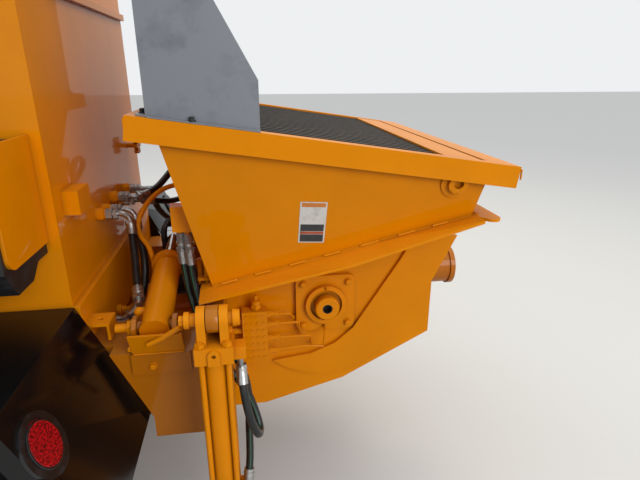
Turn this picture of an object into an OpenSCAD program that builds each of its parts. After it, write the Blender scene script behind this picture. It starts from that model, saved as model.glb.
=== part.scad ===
// Trailer-mounted concrete pump with a rear hopper and a swinging S-tube valve.
// Millimetres. +X is the direction of travel, +Y the left side, +Z up.
// The origin is on the ground, at the middle of the whole machine's box.

/* [Enclosure] */
// Rear face of the engine enclosure, along X
hood_rear_x = -1208; // [-1230:1:-1190]
// Length of the engine enclosure
hood_len = 2360; // [2200:10:2450]
// Width of the engine enclosure
hood_w = 960; // [920:4:980]
// Height of the enclosure's lower body, from the frame to the roof joint
hood_h = 765; // [740:5:800]
// Height of the roof cover
roof_h = 220; // [180:5:240]
// Sheet and frame thickness of the enclosure walls
hood_t = 25; // [20:1:30]

/* [Frame] */
// Height of the frame's top above the ground
frame_top_z = 865; // [855:1:875]
// Depth of the frame rails
rail_h = 210; // [190:2:215]
// Width of one frame rail
rail_w = 90; // [80:2:100]
// Wall of the rear cross plate
cross_t = 16; // [12:1:20]
// Height of the drawbar's centre at the eye
eye_z = 595; // [580:5:610]
// Drawbar eye position along X
eye_x = 2366; // [2320:1:2400]
// Inner radius of the drawbar eye
eye_r = 38; // [34:1:40]
// Outer radius of the drawbar eye
eye_outer_r = 84; // [78:1:88]

/* [Wheels] */
// Axle position along X
axle_x = -778; // [-800:2:-760]
// Tyre radius
tyre_r = 387.5; // [370:0.5:395]
// Tyre width
tyre_w = 235; // [215:5:240]
// Wheel centre distance from the middle plane
wheel_y = 790; // [780:1:800]
// Rim radius under the tyre bead
rim_r = 206; // [200:1:215]

/* [Fenders] */
// Fender width
fender_w = 452; // [440:2:456]
// Sheet thickness of the fenders
fender_t = 5; // [4:1:8]
// Height of the fender's lower fold
fender_fold_z = 526; // [500:2:540]
// Half length of the flat fender top
fender_half = 434; // [425:1:440]
// How far the slope runs out past the flat top
fender_run = 157; // [140:1:165]
// Height of the fender's lower edge
fender_low_z = 370; // [340:5:400]
// Radius of the round tail lamps
lamp_r = 51; // [48:1:54]

/* [Hopper] */
// Front edge of the hopper rim, along X
rim_front_x = -1416; // [-1420:1:-1400]
// Length of the hopper rim
rim_len = 952; // [930:2:960]
// Half width of the hopper rim
rim_half = 563; // [550:1:570]
// Height of the rim's front top edge
rim_front_z = 1357; // [1340:1:1365]
// Slope of the rim down to the rear, degrees
rim_slope = 8.4; // [7.5:0.1:9]
// Height of the rim band
rim_h = 56; // [50:1:60]
// Sheet thickness of hopper and rim
sheet_t = 8; // [6:1:10]
// Half width of the funnel at the valve box flange, front
funnel_low = 440; // [430:1:450]
// Number of grate bars
grate_bars = 29; // [21:2:33]

/* [Valve box] */
// Half width of the valve box
box_half = 330; // [320:1:340]
// Wall thickness of the valve box
box_t = 10; // [8:1:12]
// Front face of the valve box, along X
box_front_x = -1560; // [-1570:1:-1550]
// Agitator shaft position along X
shaft_x = -1898; // [-1910:1:-1890]
// Agitator shaft height
shaft_z = 758; // [750:1:765]
// Radius of the agitator shaft
shaft_r = 30; // [26:1:34]
// Height of the delivery outlet and of the valve pivot
outlet_z = 720; // [710:1:730]
// Inner radius of the delivery outlet
outlet_r = 62; // [50:1:76]
// Rear end of the delivery outlet, along X
outlet_end_x = -2450; // [-2450:1:-2440]
// Swing radius of the S-tube inlet about the pivot
swing_r = 215; // [205:1:220]
// Outer radius of the S-tube and pumping cylinders
tube_r = 100; // [90:1:102]

/* [Legs and jack] */
// Rear leg position along X
leg_x = -1580; // [-1590:1:-1570]
// Rear leg distance from the middle plane
leg_y = 673; // [665:1:680]
// Square of the leg cylinder heads
leg_head = 89; // [80:1:95]
// Radius of the leg cylinder barrel
leg_r = 34; // [32:1:36]
// Height of the leg cylinder's lower end
leg_low_z = 330; // [320:2:345]
// Height of the leg cylinder's upper end
leg_high_z = 850; // [840:2:860]
// Radius of the leg rods
leg_rod_r = 22; // [18:1:25]
// Tongue jack position along X
jack_x = 1760; // [1720:5:1800]
// Half width of the tongue jack's outer tube
jack_half = 38; // [34:1:42]

/* [Hidden] */
$fn = 48;

paint = "#e8920c";
black = "#16171a";
steel = "#9a9c9e";
dark = "#3a3836";

hood_front_x = hood_rear_x + hood_len;
hood_half = hood_w / 2;
frame_low_z = frame_top_z - rail_h;
joint_z = frame_top_z + hood_h;
roof_z = joint_z + roof_h;
rail_y = hood_half - rail_w;
rim_rear_x = rim_front_x - rim_len;
fender_in = hood_half + 4;
fender_out = fender_in + fender_w;

// Height of the hopper rim's top at a place along X
function rim_z(x) = rim_front_z - (rim_front_x - x) * tan(rim_slope);

// A box from its low corner to its high corner
module block(low, high) {
    translate(low) cube([high.x - low.x, high.y - low.y, high.z - low.z]);
}
// A straight round bar from one point along +X, +Y or +Z
module bar_x(at, r, len) { translate(at) rotate([0, 90, 0]) cylinder(r = r, h = len); }
module bar_y(at, r, len) { translate(at) rotate([-90, 0, 0]) cylinder(r = r, h = len); }
module bar_z(at, r, len) { translate(at) cylinder(r = r, h = len); }
// A side profile in X and Z, drawn between two places along Y
module side_profile(points, y0, y1) {
    translate([0, y1, 0]) rotate([90, 0, 0]) linear_extrude(height = y1 - y0) polygon(points);
}
// A copy on each side of the middle plane
module both_sides() {
    children();
    mirror([0, 1, 0]) children();
}

// Line offset of a closed outline that runs anticlockwise, inward by t
function unit2(v) = v / norm(v);
function inset(points, t) = let (n = len(points)) [for (i = [0 : n - 1])
    let (a = points[(i + n - 1) % n], b = points[i], c = points[(i + 1) % n],
        u = unit2(b - a), v = unit2(c - b),
        nu = [-u.y, u.x], nv = [-v.y, v.x],
        k = t / (1 + nu * nv))
    b + (nu + nv) * k];

// A solid skinned over sections that have the same number of points
module skin(sections) {
    n = len(sections[0]);
    m = len(sections);
    polyhedron(points = [for (s = sections) each s],
        faces = concat([[for (i = [0 : n - 1]) i]],
            [[for (i = [n - 1 : -1 : 0]) (m - 1) * n + i]],
            [for (j = [0 : m - 2]) for (i = [0 : n - 1]) let (k = (i + 1) % n)
                each [[j * n + i, (j + 1) * n + i, (j + 1) * n + k], [j * n + i, (j + 1) * n + k, j * n + k]]]));
}
// A point between a and b, or past them
function between(a, b, t) = a + (b - a) * t;

// Frame of rails and cross members

cross_low_z = frame_low_z;
module main_frame() {
    color(paint) {
        both_sides() block([hood_rear_x, rail_y, frame_low_z], [hood_front_x, hood_half, frame_top_z]);
        for (x = [hood_rear_x, -420, 240, hood_front_x - 60])
            block([x, -rail_y, frame_top_z - 70], [x + 60, rail_y, frame_top_z]);
        difference() {
            block([hood_rear_x - cross_t, -hood_half, cross_low_z], [hood_rear_x, hood_half, frame_top_z]);
            both_sides() bar_x([hood_rear_x - cross_t - 1, 125, 505], tube_r + 10, cross_t + 2);
        }
        // Slotted angle on the rear cross plate
        difference() {
            union() {
                block([hood_rear_x - cross_t - 60, 395, 792], [hood_rear_x - cross_t, 465, 800]);
                block([hood_rear_x - cross_t - 60, 395, 750], [hood_rear_x - cross_t - 52, 465, 800]);
            }
            bar_z([hood_rear_x - cross_t - 30, 430, 780], 7, 30);
        }
    }
}

// Drawbar: two channels that meet at the eye's socket

bar_top_z = frame_low_z;
bar_low_z = bar_top_z - 120;
bar_w = 70;
socket_x = eye_x - eye_outer_r - 96;
module drawbar() {
    color(paint) difference() {
        union() {
            both_sides() linear_z(bar_low_z, bar_top_z)
                polygon([[hood_front_x - 260, rail_y + bar_w], [hood_front_x - 260, rail_y],
                    [hood_front_x, rail_y], [socket_x - 60, -4], [socket_x, -4], [socket_x, 62],
                    [hood_front_x, rail_y + bar_w]]);
            block([hood_front_x - 260, -rail_y - 8, bar_low_z], [hood_front_x - 200, rail_y + 8, bar_top_z]);
            block([jack_x - 60, -190, bar_top_z - 12], [jack_x + 60, 190, bar_top_z]);
            block([socket_x - 40, -62, bar_low_z], [socket_x + 20, 62, bar_top_z]);
        }
        block([jack_x - jack_half - 1, -jack_half - 1, bar_low_z - 5],
            [jack_x + jack_half + 1, jack_half + 1, bar_top_z + 5]);
    }
}
module linear_z(z0, z1) { translate([0, 0, z0]) linear_extrude(height = z1 - z0) children(); }

// Forged ring eye on its shank
module drawbar_eye() {
    color(dark) {
        difference() {
            union() {
                translate([eye_x, 0, eye_z - eye_t / 2]) rotate_extrude() eye_section();
                block([socket_x + 20, -34, eye_z - 30], [eye_x - eye_outer_r + 17, 34, eye_z + 30]);
                block([socket_x + 20, -60, eye_z - 58], [socket_x + 44, 60, eye_z + 58]);
            }
            bar_z([eye_x, 0, eye_z - 60], eye_r, 120);
        }
    }
}
eye_t = 42;
eye_edge = 12;
module eye_section() {
    polygon([[0, 0], [eye_outer_r - eye_edge, 0], [eye_outer_r, eye_edge], [eye_outer_r, eye_t - eye_edge],
        [eye_outer_r - eye_edge, eye_t], [0, eye_t]]);
}

// Axle and suspension

beam_r = 38;
spring_y = rail_y + rail_w / 2;
module axle_beam() {
    color(black) {
        bar_y([axle_x, -wheel_y + 74, tyre_r], beam_r, 2 * wheel_y - 148);
        both_sides() {
            bar_y([axle_x, wheel_y - 74, tyre_r], 20, 96);
            bar_y([axle_x, wheel_y - 96, tyre_r], 92, 14);
            block([axle_x - 62, spring_y - 36, tyre_r + beam_r - 4], [axle_x + 62, spring_y + 36, tyre_r + beam_r + 14]);
        }
    }
}

leaf_t = 10.5;
leaf_pitch = 11;
leaf_len = [700, 560, 420, 280];
leaf_sag = 110;
// Height of a leaf's centre line above its middle, along the spring
function leaf_rise(x) = leaf_sag * pow(x / 350, 2);
module leaf_springs() {
    base_z = tyre_r + beam_r + 14;
    color(black) both_sides() for (i = [0 : 3]) {
        steps = [for (k = [-5 : 5]) k * leaf_len[i] / 10];
        z0 = base_z + leaf_pitch * (3 - i);
        side_y = spring_y - 28;
        translate([axle_x, side_y + 56, 0]) rotate([90, 0, 0]) linear_extrude(height = 56)
            polygon(concat([for (x = steps) [x, z0 + leaf_rise(x)]],
                [for (k = [10 : -1 : 0]) [steps[k], z0 + leaf_t + leaf_rise(steps[k])]]));
    }
    color(black) both_sides() for (s = [-1, 1])
        block([axle_x + s * 345 - 22, spring_y - 40, base_z + 3 * leaf_pitch + 75],
            [axle_x + s * 345 + 22, spring_y + 40, frame_low_z]);
}

// Fenders

// How far the lower faces turn back under the wheel, for their height
fender_tuck = 0.55;
// Outline from the front of the flat top round to the rear, down to a height
function fender_shape(low) = let (back = fender_half + fender_run, under = back - fender_tuck * (fender_fold_z - low))
    [[axle_x + fender_half, frame_top_z], [axle_x - fender_half, frame_top_z], [axle_x - back, fender_fold_z],
    [axle_x - under, low], [axle_x + under, low], [axle_x + back, fender_fold_z]];
// The outline's band of a width, open at the bottom
module fender_band(width, y0, y1) {
    difference() {
        side_profile(fender_shape(fender_low_z), y0, y1);
        side_profile(inset(fender_shape(fender_low_z - width - 20), width), y0 - 1, y1 + 1);
    }
}
fender_angle = atan2(frame_top_z - fender_fold_z, fender_run);
// Middle of the rear slope, and the lamp's place on it
lamp_u = 0.295;
lamp_y = 874;
lamp_at = [axle_x - fender_half - fender_run * lamp_u, lamp_y, frame_top_z - (frame_top_z - fender_fold_z) * lamp_u];
// Puts children on the fender's rear slope, with +Z pointing out of it
module on_slope(at) { translate(at) rotate([0, -fender_angle, 0]) rotate([0, 0, 0]) children(); }
lip_w = 42;
module fender_left() {
    color(black) difference() {
        union() {
            fender_band(fender_t, fender_in, fender_out);
            // Turned lip round the outer edge
            fender_band(lip_w, fender_out - fender_t, fender_out);
            // Inner plate that bolts to the frame rail
            side_profile([[axle_x + fender_half, frame_top_z - 1], [axle_x - fender_half, frame_top_z - 1],
                [axle_x - fender_half - 60, frame_low_z + 60], [axle_x + fender_half + 60, frame_low_z + 60]],
                fender_in, fender_in + fender_t);
            // Spacers on the rail's face, behind the plate's bolts
            for (x = [-fender_half + 60, 0, fender_half - 60])
                block([axle_x + x - 20, hood_half + 0.3, frame_top_z - 90], [axle_x + x + 20, fender_in + 1, frame_top_z - 50]);
        }
        on_slope(lamp_at) translate([0, 0, -20]) cylinder(r = lamp_r + 8, h = 40);
    }
}
module fender_right() { mirror([0, 1, 0]) fender_left(); }

module lamp_rings() {
    color(dark) both_sides() on_slope(lamp_at) difference() {
        union() {
            translate([0, 0, 0.3]) cylinder(r = lamp_r + 16, h = 7);
            translate([0, 0, -14]) cylinder(r = lamp_r + 7.7, h = 16);
        }
        translate([0, 0, -20]) cylinder(r = lamp_r + 0.3, h = 60);
    }
}
module lamp_lenses() {
    color("#c8141c") both_sides() on_slope(lamp_at) {
        translate([0, 0, -12]) cylinder(r = lamp_r, h = 18);
        translate([0, 0, 6]) cylinder(r1 = lamp_r, r2 = lamp_r - 6, h = 4);
    }
}

// Enclosure

door_x0 = -440;
door_x1 = 940;
door_z0 = frame_top_z + 60;
door_z1 = joint_z - 50;
door_t = 26;
door_gap = 6;
module enclosure_body() {
    color(paint) difference() {
        block([hood_rear_x, -hood_half, frame_top_z], [hood_front_x, hood_half, joint_z]);
        block([hood_rear_x + hood_t, -hood_half + hood_t, frame_top_z - 1],
            [hood_front_x - hood_t, hood_half - hood_t, joint_z + 1]);
        both_sides() block([door_x0, hood_half - hood_t - 5, door_z0], [door_x1, hood_half + 5, door_z1]);
        // Radiator opening
        block([hood_front_x - hood_t - 5, -330, frame_top_z + 120], [hood_front_x + 5, 330, joint_z - 90]);
    }
    // Fixed halves of the door hinges: end knuckles, their pin and the leaf on the wall
    color(paint) both_sides() for (z = hinge_z) {
        bar_z([hinge_x, hinge_y, z - 46], pin_r, 92);
        for (low = [z - 50, z + 20]) {
            bar_z([hinge_x, hinge_y, low], knuckle_r, 30);
            block([hinge_x, hood_half - 1, low], [hinge_x + 44, hood_half + 4, low + 30]);
            block([hinge_x, hood_half - 1, low], [hinge_x + 6, hinge_y, low + 30]);
        }
    }
}
// Door hinge axis, and the heights of the two hinges
hinge_x = door_x1 + 4;
hinge_y = hood_half + 12;
hinge_z = [door_z0 + 110, door_z1 - 110];
knuckle_r = 10;
pin_r = 6;
hinge_fit = 0.3;
// Moving half of a hinge: the middle knuckle and its leaf on the door
module door_knuckle(z) {
    difference() {
        union() {
            bar_z([hinge_x, hinge_y, z - 19.5], knuckle_r, 39);
            block([hinge_x - 50, hood_half + 1, z - 19.5], [hinge_x - 4, hood_half + 6, z + 19.5]);
            block([hinge_x - 8, hood_half + 1, z - 19.5], [hinge_x - 2, hinge_y, z + 19.5]);
        }
        bar_z([hinge_x, hinge_y, z - 60], pin_r + hinge_fit, 120);
    }
}
roof_lip = 14;
module roof_cover() {
    color(paint) {
        difference() {
            side_profile([[hood_rear_x, joint_z], [hood_front_x, joint_z], [hood_front_x, roof_z - 60],
                [hood_front_x - 90, roof_z], [hood_rear_x + 40, roof_z], [hood_rear_x, roof_z - 30]],
                -hood_half, hood_half);
            side_profile([[hood_rear_x + hood_t, joint_z - 1], [hood_front_x - hood_t, joint_z - 1],
                [hood_front_x - hood_t, roof_z - 75], [hood_front_x - 105, roof_z - 12],
        [hood_rear_x + 50, roof_z - 12],
                [hood_rear_x + hood_t, roof_z - 45]], -hood_half + hood_t, hood_half - hood_t);
        }
        // Folded lip along the rear joint
        block([hood_rear_x - roof_lip, -hood_half, joint_z], [hood_rear_x, hood_half, joint_z + 22]);
        // Lifting eye in the middle of the roof
        difference() {
            block([-60, -10, roof_z], [60, 10, roof_z + 75]);
            bar_y([0, -11, roof_z + 38], 22, 22);
        }
    }
}
module front_grille() {
    color(dark) {
        x0 = hood_front_x - hood_t;
        z0 = frame_top_z + 120;
        z1 = joint_z - 90;
        difference() {
            block([x0, -330 + 0.3, z0 + 0.3], [x0 + 22, 330 - 0.3, z1 - 0.3]);
            block([x0 - 1, -306, z0 + 24], [x0 + 23, 306, z1 - 24]);
        }
        slats = 11;
        for (i = [0 : slats - 1])
            translate([x0 + 11, 0, z0 + 24 + (i + 0.5) * (z1 - z0 - 48) / slats]) rotate([0, 35, 0])
                cube([22, 614, 4], center = true);
    }
}
stack_x = 520;
stack_y = -300;
module exhaust_stack() {
    color(steel) difference() {
        union() {
            bar_z([stack_x, stack_y, roof_z], 62, 14);
            bar_z([stack_x, stack_y, roof_z + 14], 38, 66);
        }
        bar_z([stack_x, stack_y, roof_z + 20], 34, 70);
    }
}
engine_x = 120;
engine_len = 720;
engine_w = 520;
engine_h = 560;
module engine_block() {
    color(dark) block([engine_x, -engine_w / 2, frame_top_z], [engine_x + engine_len, engine_w / 2, frame_top_z + engine_h]);
}

tank_x0 = hood_rear_x + 34;
tank_x1 = tank_x0 + 560;
tank_z0 = 1010;
tank_z1 = 1300;
tank_y1 = 700;
module fuel_tank() {
    corner = 40;
    color(black) difference() {
        translate([tank_x0, 0, 0]) rotate([90, 0, 90]) linear_extrude(height = tank_x1 - tank_x0)
            polygon([[hood_half, tank_z0 + 10], [hood_half + 60, tank_z0 + 10], [hood_half + 100, tank_z0 - 22],
                [tank_y1 - corner, tank_z0 - 22], [tank_y1, tank_z0 + corner], [tank_y1, tank_z1 - corner],
                [tank_y1 - corner, tank_z1], [hood_half, tank_z1]]);
        // Grooves for the straps
        for (x = [tank_x0 + 120, tank_x1 - 160])
            block([x, tank_y1 - 8, 900], [x + 40, tank_y1 + 8, 1400]);
    }
    color(black) bar_z([tank_x0 + 280, hood_half + 110, tank_z1], 42, 26);
}
guard_t = 8;
module tank_guards() {
    color(paint) for (x = [tank_x0 - guard_t, tank_x1]) translate([x, 0, 0]) rotate([90, 0, 90])
        linear_extrude(height = guard_t) guard_plate();
}
module guard_plate() {
    r = 30;
    difference() {
        translate([hood_half, 1050]) square([210, 260]);
        translate([hood_half + 210 - r, 1050]) square([r + 1, r]);
    }
    translate([hood_half + 210 - r, 1050 + r]) circle(r = r);
}

// Pumping line under the frame

cyl_y = 125;
cyl_z = outlet_z - sqrt(swing_r * swing_r - cyl_y * cyl_y);
water_x0 = -430;
water_x1 = -170;
module pumping_cylinders() {
    color(paint) both_sides() difference() {
        bar_x([box_front_x, cyl_y, cyl_z], tube_r, water_x0 - box_front_x);
        bar_x([box_front_x - 1, cyl_y, cyl_z], tube_r - 12, 200);
    }
}
module water_box() {
    color(paint) difference() {
        block([water_x0, -250, cyl_z - 125], [water_x1, 250, frame_low_z + 20]);
        block([water_x0 + 12, -238, cyl_z - 113], [water_x1 - 12, 238, frame_low_z + 30]);
    }
    color(paint) difference() {
        block([water_x0 - 14, -265, frame_low_z + 20], [water_x1 + 14, 265, frame_low_z + 32]);
        bar_z([water_x0 + 130, 0, 600], 20, 200);
    }
}
drive_r = 62;
drive_head = 60;
drive_x1 = hood_front_x - 260 - 30 - drive_head;
module drive_cylinders() {
    color(paint) both_sides() {
        bar_x([water_x1, cyl_y, cyl_z], drive_r, drive_x1 - water_x1);
        for (end = [[water_x1, 85], [drive_x1, 75]])
            translate([end[0], cyl_y - end[1], cyl_z - end[1]]) cube([drive_head, 2 * end[1], 2 * end[1]]);
    }
}

// Valve box: side outline, X and Z

flange_z0 = 872;
flange_slope = 15.4;
box_rear_x = -2250;
// Height of the sloping joint between the valve box and the funnel
function flange_z(x) = flange_z0 + (box_front_x - x) * tan(flange_slope);
flange_front = [box_front_x, flange_z(box_front_x)];
flange_rear = [-2335, flange_z(-2335)];
box_outline = [flange_front, [box_front_x, 392], [-1700, 392], [-1960, 465], [box_rear_x, 620], [box_rear_x, 850], flange_rear];
// The same outline run anticlockwise
box_loop = [for (i = [len(box_outline) - 1 : -1 : 0]) box_outline[i]];
module valve_box() {
    color(paint) difference() {
        side_profile(box_loop, -box_half, box_half);
        difference() {
            side_profile(inset(box_loop, box_t), -box_half + box_t, box_half - box_t);
        }
        // Open top under the funnel
        side_profile([[box_front_x - box_t, flange_z(box_front_x) - 60], [-2300, flange_z(-2300) - 60], [-2322, flange_z(-2322)],
            [-2322, 1200], [box_front_x - box_t, 1200]], -box_half + box_t, box_half - box_t);
        both_sides() bar_x([box_front_x - box_t - 1, cyl_y, cyl_z], tube_r - 12, 3 * box_t);
        bar_x([box_front_x - box_t - 1, 0, outlet_z], 42, 3 * box_t);
        bar_x([box_rear_x - box_t - 1, 0, outlet_z], seat_r + 0.3, 3 * box_t);
        both_sides() bar_y([shaft_x, box_half - 2 * box_t, shaft_z], shaft_r + 1, 3 * box_t);
    }
}

// Curved cheek plates outside the agitator, with the bearing's recess
cheek_r = 260;
cheek_t = 12;
module trough_cheeks() {
    color(paint) both_sides() translate([0, box_half + cheek_t, 0]) rotate([90, 0, 0])
        linear_extrude(height = cheek_t) intersection() {
            union() {
                translate([shaft_x, shaft_z]) circle(r = cheek_r, $fn = 96);
                polygon([[-2087, 579], [-2240, 800], [-2317, 960], [-2100, 960]]);
            }
            // Behind and below the bearing's recess
            polygon([[-1640, 300], [-1640, 545], [-1698, 557], [-1850, 576], [shaft_x - 32, shaft_z - 150],
                [shaft_x - 92, shaft_z - 98], [shaft_x - 237, shaft_z + 128], [-2190, 985], [-2400, 1040],
        [-2400, 300]]);
        }
}

// Hopper funnel

// The panels end inside the rim, under its top plate
funnel_top_y = rim_half - sheet_t - 1;
under_rim = sheet_t - 2;
top_front = [rim_front_x - 52, rim_z(rim_front_x - 52) - under_rim];
top_rear = [rim_rear_x + 72, rim_z(rim_rear_x + 72) - under_rim];
low_rear_y = rim_half - 55;
skirt_t = 8;
low_gap = 0.3;
low_front_x = -1565;
low_rear_x = -2272;
function ring_at(front, rear, front_y, rear_y) = [[front.x, -front_y, front.y], [front.x, front_y, front.y],
    [rear.x, rear_y, rear.y], [rear.x, -rear_y, rear.y]];
low_ring = ring_at([low_front_x, flange_z(low_front_x) + 4], [low_rear_x, flange_z(low_rear_x) + 4], funnel_low, low_rear_y);
top_ring = ring_at(top_front, top_rear, funnel_top_y, funnel_top_y);
module funnel_solid(t, ends) {
    low = [for (p = low_ring) [p.x - sign(p.x - shaft_x - 50) * t, p.y - sign(p.y) * t, p.z]];
    top = [for (p = top_ring) [p.x - sign(p.x - shaft_x - 50) * t, p.y - sign(p.y) * t, p.z]];
    skin([[for (i = [0 : 3]) between(low[i], top[i], -ends)], [for (i = [0 : 3]) between(low[i], top[i], 1 + ends)]]);
}
skirt_x0 = -1530;
skirt_x1 = -2285;
skirt_w = 62;
// Width of the skirt strip and how far its outer edge hangs, at its front, middle and rear
skirt_at = [[skirt_x0, 64, 10], [-1940, 69, 20], [skirt_x1, 62, 2]];
flange_x1 = skirt_x1 - 5;
cover_x1 = -2345;
ear_z = flange_z(skirt_x1) - 5;
// Half width of the funnel's foot at a place along X
function foot_y(x) = funnel_low + (low_rear_y - funnel_low) * (low_front_x - x) / (low_front_x - low_rear_x);
// Section of the skirt strip across Y
function skirt_section(at) = let (x = at[0], y = foot_y(x) - 4, z = flange_z(x) + low_gap, w = at[1], drop = at[2])
    [[x, y, z], [x, y, z + skirt_t], [x, y + w, z - drop + skirt_t], [x, y + w, z - drop]];
ledge_y = rim_half - 63;
// The grate's underside and its hinge pin, in the rim's own frame: X along it, Z out of it
grate_low = -40;
grate_pin = [-88, -13];
grate_pin_r = 7;
// Where the round boss sits on the side panel, as shares of its length and height
boss_at = [0.9, 0.69];
function panel_point(u, v) = between(between(low_ring[1], low_ring[2], u), between(top_ring[1], top_ring[2], u), v);
boss_point = panel_point(boss_at.x, boss_at.y);
boss_up = panel_point(boss_at.x, 1) - panel_point(boss_at.x, 0);
boss_lean = atan2(boss_up.y, boss_up.z);
module hopper_funnel() {
    color(paint) {
        difference() {
            funnel_solid(0, 0);
            funnel_solid(sheet_t, 0.02);
        }
        rim_frame();
        // Floor flange that joins the funnel to the valve box
        difference() {
            skin([for (h = [low_gap, low_gap + skirt_t]) ring_at([skirt_x0, flange_z(skirt_x0) + h],
                [flange_x1, flange_z(flange_x1) + h], foot_y(skirt_x0) + 6, foot_y(flange_x1) + 6)]);
            skin([for (h = [-20, 40]) ring_at([box_front_x - box_t - 2, flange_z(box_front_x - box_t - 2) + h],
                [low_rear_x + 12, flange_z(low_rear_x + 12) + h], box_half - box_t, box_half - box_t)]);
        }
        // Cover plate over the valve box's rear end
        skin([for (h = [low_gap, low_gap + skirt_t + 2]) ring_at([skirt_x1 + 5, flange_z(skirt_x1 + 5) + h],
            [cover_x1, flange_z(cover_x1) + h], box_half + 8, box_half + 8)]);
        // Skirt strip welded along each side, and the flat ear behind it
        both_sides() skin([for (at = skirt_at) skirt_section(at)]);
        both_sides() hull() for (at = [[-2292, low_rear_y - 10, 14], [-2324, low_rear_y + 18, 22],
            [-2330, low_rear_y - 110, 15]]) translate([at[0], at[1], ear_z]) cylinder(r = at[2], h = skirt_t, $fn = 32);
        // Boss high at the rear of each side panel: a disc and a ring round a hole
        both_sides() translate(boss_point) rotate([-90 - boss_lean, 0, 0]) translate([0, 0, -4]) difference() {
            union() {
                cylinder(r = 44, h = 9);
                cylinder(r = 27, h = 19);
            }
            translate([0, 0, 9]) cylinder(r = 13, h = 11);
        }
        // Ledges under the grate's sides, and the pins of its hinge
        both_sides() in_rim() {
            block([-rim_run + rim_rear, ledge_y, -50], [-rim_front - 60, rim_half - 5, grate_low - 0.3]);
            bar_y([grate_pin.x, ledge_y, grate_pin.y], grate_pin_r, rim_half - 25 - ledge_y);
        }
    }
}
module in_rim() { translate([rim_front_x, 0, rim_front_z]) rotate([0, -rim_slope, 0]) children(); }
rim_run = rim_len / cos(rim_slope);
rim_side = 40;
rim_front = 66;
rim_rear = 78;
module rim_frame() {
    in_rim() difference() {
        block([-rim_run, -rim_half, -rim_h], [0, rim_half, 0]);
        block([-rim_run + sheet_t, -rim_half + sheet_t, -rim_h - 1], [-sheet_t, rim_half - sheet_t, -sheet_t]);
        block([-rim_run + rim_rear, -rim_half + rim_side, -rim_h], [-rim_front, rim_half - rim_side, 1]);
    }
}

// Splash guard: two side plates and a front plate on the rim

guard_x0 = -1462;
guard_x1 = -1711;
guard_y = rim_half - 18;
guard_top = 1780;
guard_sheet = 4;
module splash_guard() {
    color(steel) {
        both_sides() side_profile([[guard_x0, rim_z(guard_x0) + 1], [guard_x0, guard_top], [guard_x0 - 58, guard_top],
            [guard_x1, 1428], [guard_x1, rim_z(guard_x1) + 1]], guard_y - guard_sheet, guard_y);
        block([guard_x0, -guard_y, rim_z(guard_x0) + 1], [guard_x0 + guard_sheet, guard_y, guard_top]);
        side_profile([[guard_x0 + 26, rim_z(guard_x0 + 26) + 0.5], [guard_x0 + 26, rim_z(guard_x0 + 26) + guard_sheet],
            [guard_x0, rim_z(guard_x0) + guard_sheet], [guard_x0, rim_z(guard_x0) + 0.5]], -guard_y, guard_y);
        both_sides() side_profile([[guard_x0, rim_z(guard_x0) + 0.5], [guard_x0, rim_z(guard_x0) + 4.5],
            [guard_x1, rim_z(guard_x1) + 4.5],
        [guard_x1, rim_z(guard_x1) + 0.5]], guard_y - guard_sheet, guard_y + 16);
    }
}

// Agitator shaft seats

bearing_bolts = 100;
housing_r = 64;
housing_bore = 50;
housing_h = 34;
plate_h = 16;
collar_r = 37;
module flange_bearing() {
    difference() {
        union() {
            linear_extrude(height = plate_h) hull() for (a = [45 : 90 : 315])
                rotate(a) translate([bearing_bolts, 0]) circle(r = 22, $fn = 32);
            cylinder(r = housing_r, h = housing_h);
        }
        translate([0, 0, -1]) cylinder(r = shaft_r + 1, h = housing_h + 2);
        translate([0, 0, plate_h + 3]) cylinder(r = housing_bore, h = housing_h);
        for (a = [45 : 90 : 315]) rotate(a) translate([bearing_bolts, 0, -1]) cylinder(r = 8, h = plate_h + 2);
    }
}
module agitator_bearings() {
    color(paint) both_sides() translate([shaft_x, box_half + 0.3, shaft_z]) rotate([-90, 0, 0]) flange_bearing();
}
module agitator_motor() {
    color(dark) {
        translate([shaft_x, -box_half - 62, shaft_z]) rotate([90, 0, 0]) {
            cylinder(r = 50, h = 90);
            translate([0, 0, 90]) cylinder(r = 38, h = 60);
        }
        difference() {
            translate([shaft_x - 80, -box_half - 62, shaft_z - 80]) cube([160, 12, 160]);
            bar_y([shaft_x, -box_half - 63, shaft_z], shaft_r + 1, 14);
        }
        for (a = [-74, 62]) for (b = [-74, 62])
            translate([shaft_x + a, -box_half - 51, shaft_z + b]) cube([12, 34.4, 12]);
    }
}

// Agitator: one shaft, with a pair of paddles by each wall
paddle_r = 228;
module agitator() {
    color(dark) {
        difference() {
            union() {
                bar_y([shaft_x, -box_half - 61.7, shaft_z], shaft_r, 2 * box_half + 121.7);
                bar_y([shaft_x, box_half + plate_h + 9, shaft_z], collar_r, 50 - plate_h - 9);
            }
            bar_y([shaft_x, box_half + 36, shaft_z], 13, 30);
        }
        for (s = [-1, 1]) for (a = [0, 180]) translate([shaft_x, s * 278, shaft_z]) rotate([0, a + 35 + s * 35, 0]) {
            translate([-14, -12, shaft_r - 6]) cube([28, 24, paddle_r - shaft_r - 40]);
            translate([-8, -34, paddle_r - 62]) cube([16, 68, 62]);
        }
    }
}

// S-tube valve with its crank

crank_x = -1412;
crank_r = 190;
pin_y = 50;
crank_gap = 24;
cheek_plate = 14;
inlet_x = box_front_x - box_t - 6;
// The pipe is slimmer than the pumping cylinders, with a wear ring at its inlet
pipe_r = tube_r - 10;
ring_r = tube_r - 4;
bore_r = tube_r - 22;
collar = 12;
// Start and run of the two bends along X
bend_x = shaft_x + 258;
bend_run = bend_x - box_rear_x - 10;
bend_angle = 2 * atan(swing_r / bend_run);
bend_r = bend_run / 2 / sin(bend_angle);
// Seat of the outlet end in the rear wall
seat_r = outlet_r + 30;
seat_x = box_rear_x + 0.1;
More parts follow.
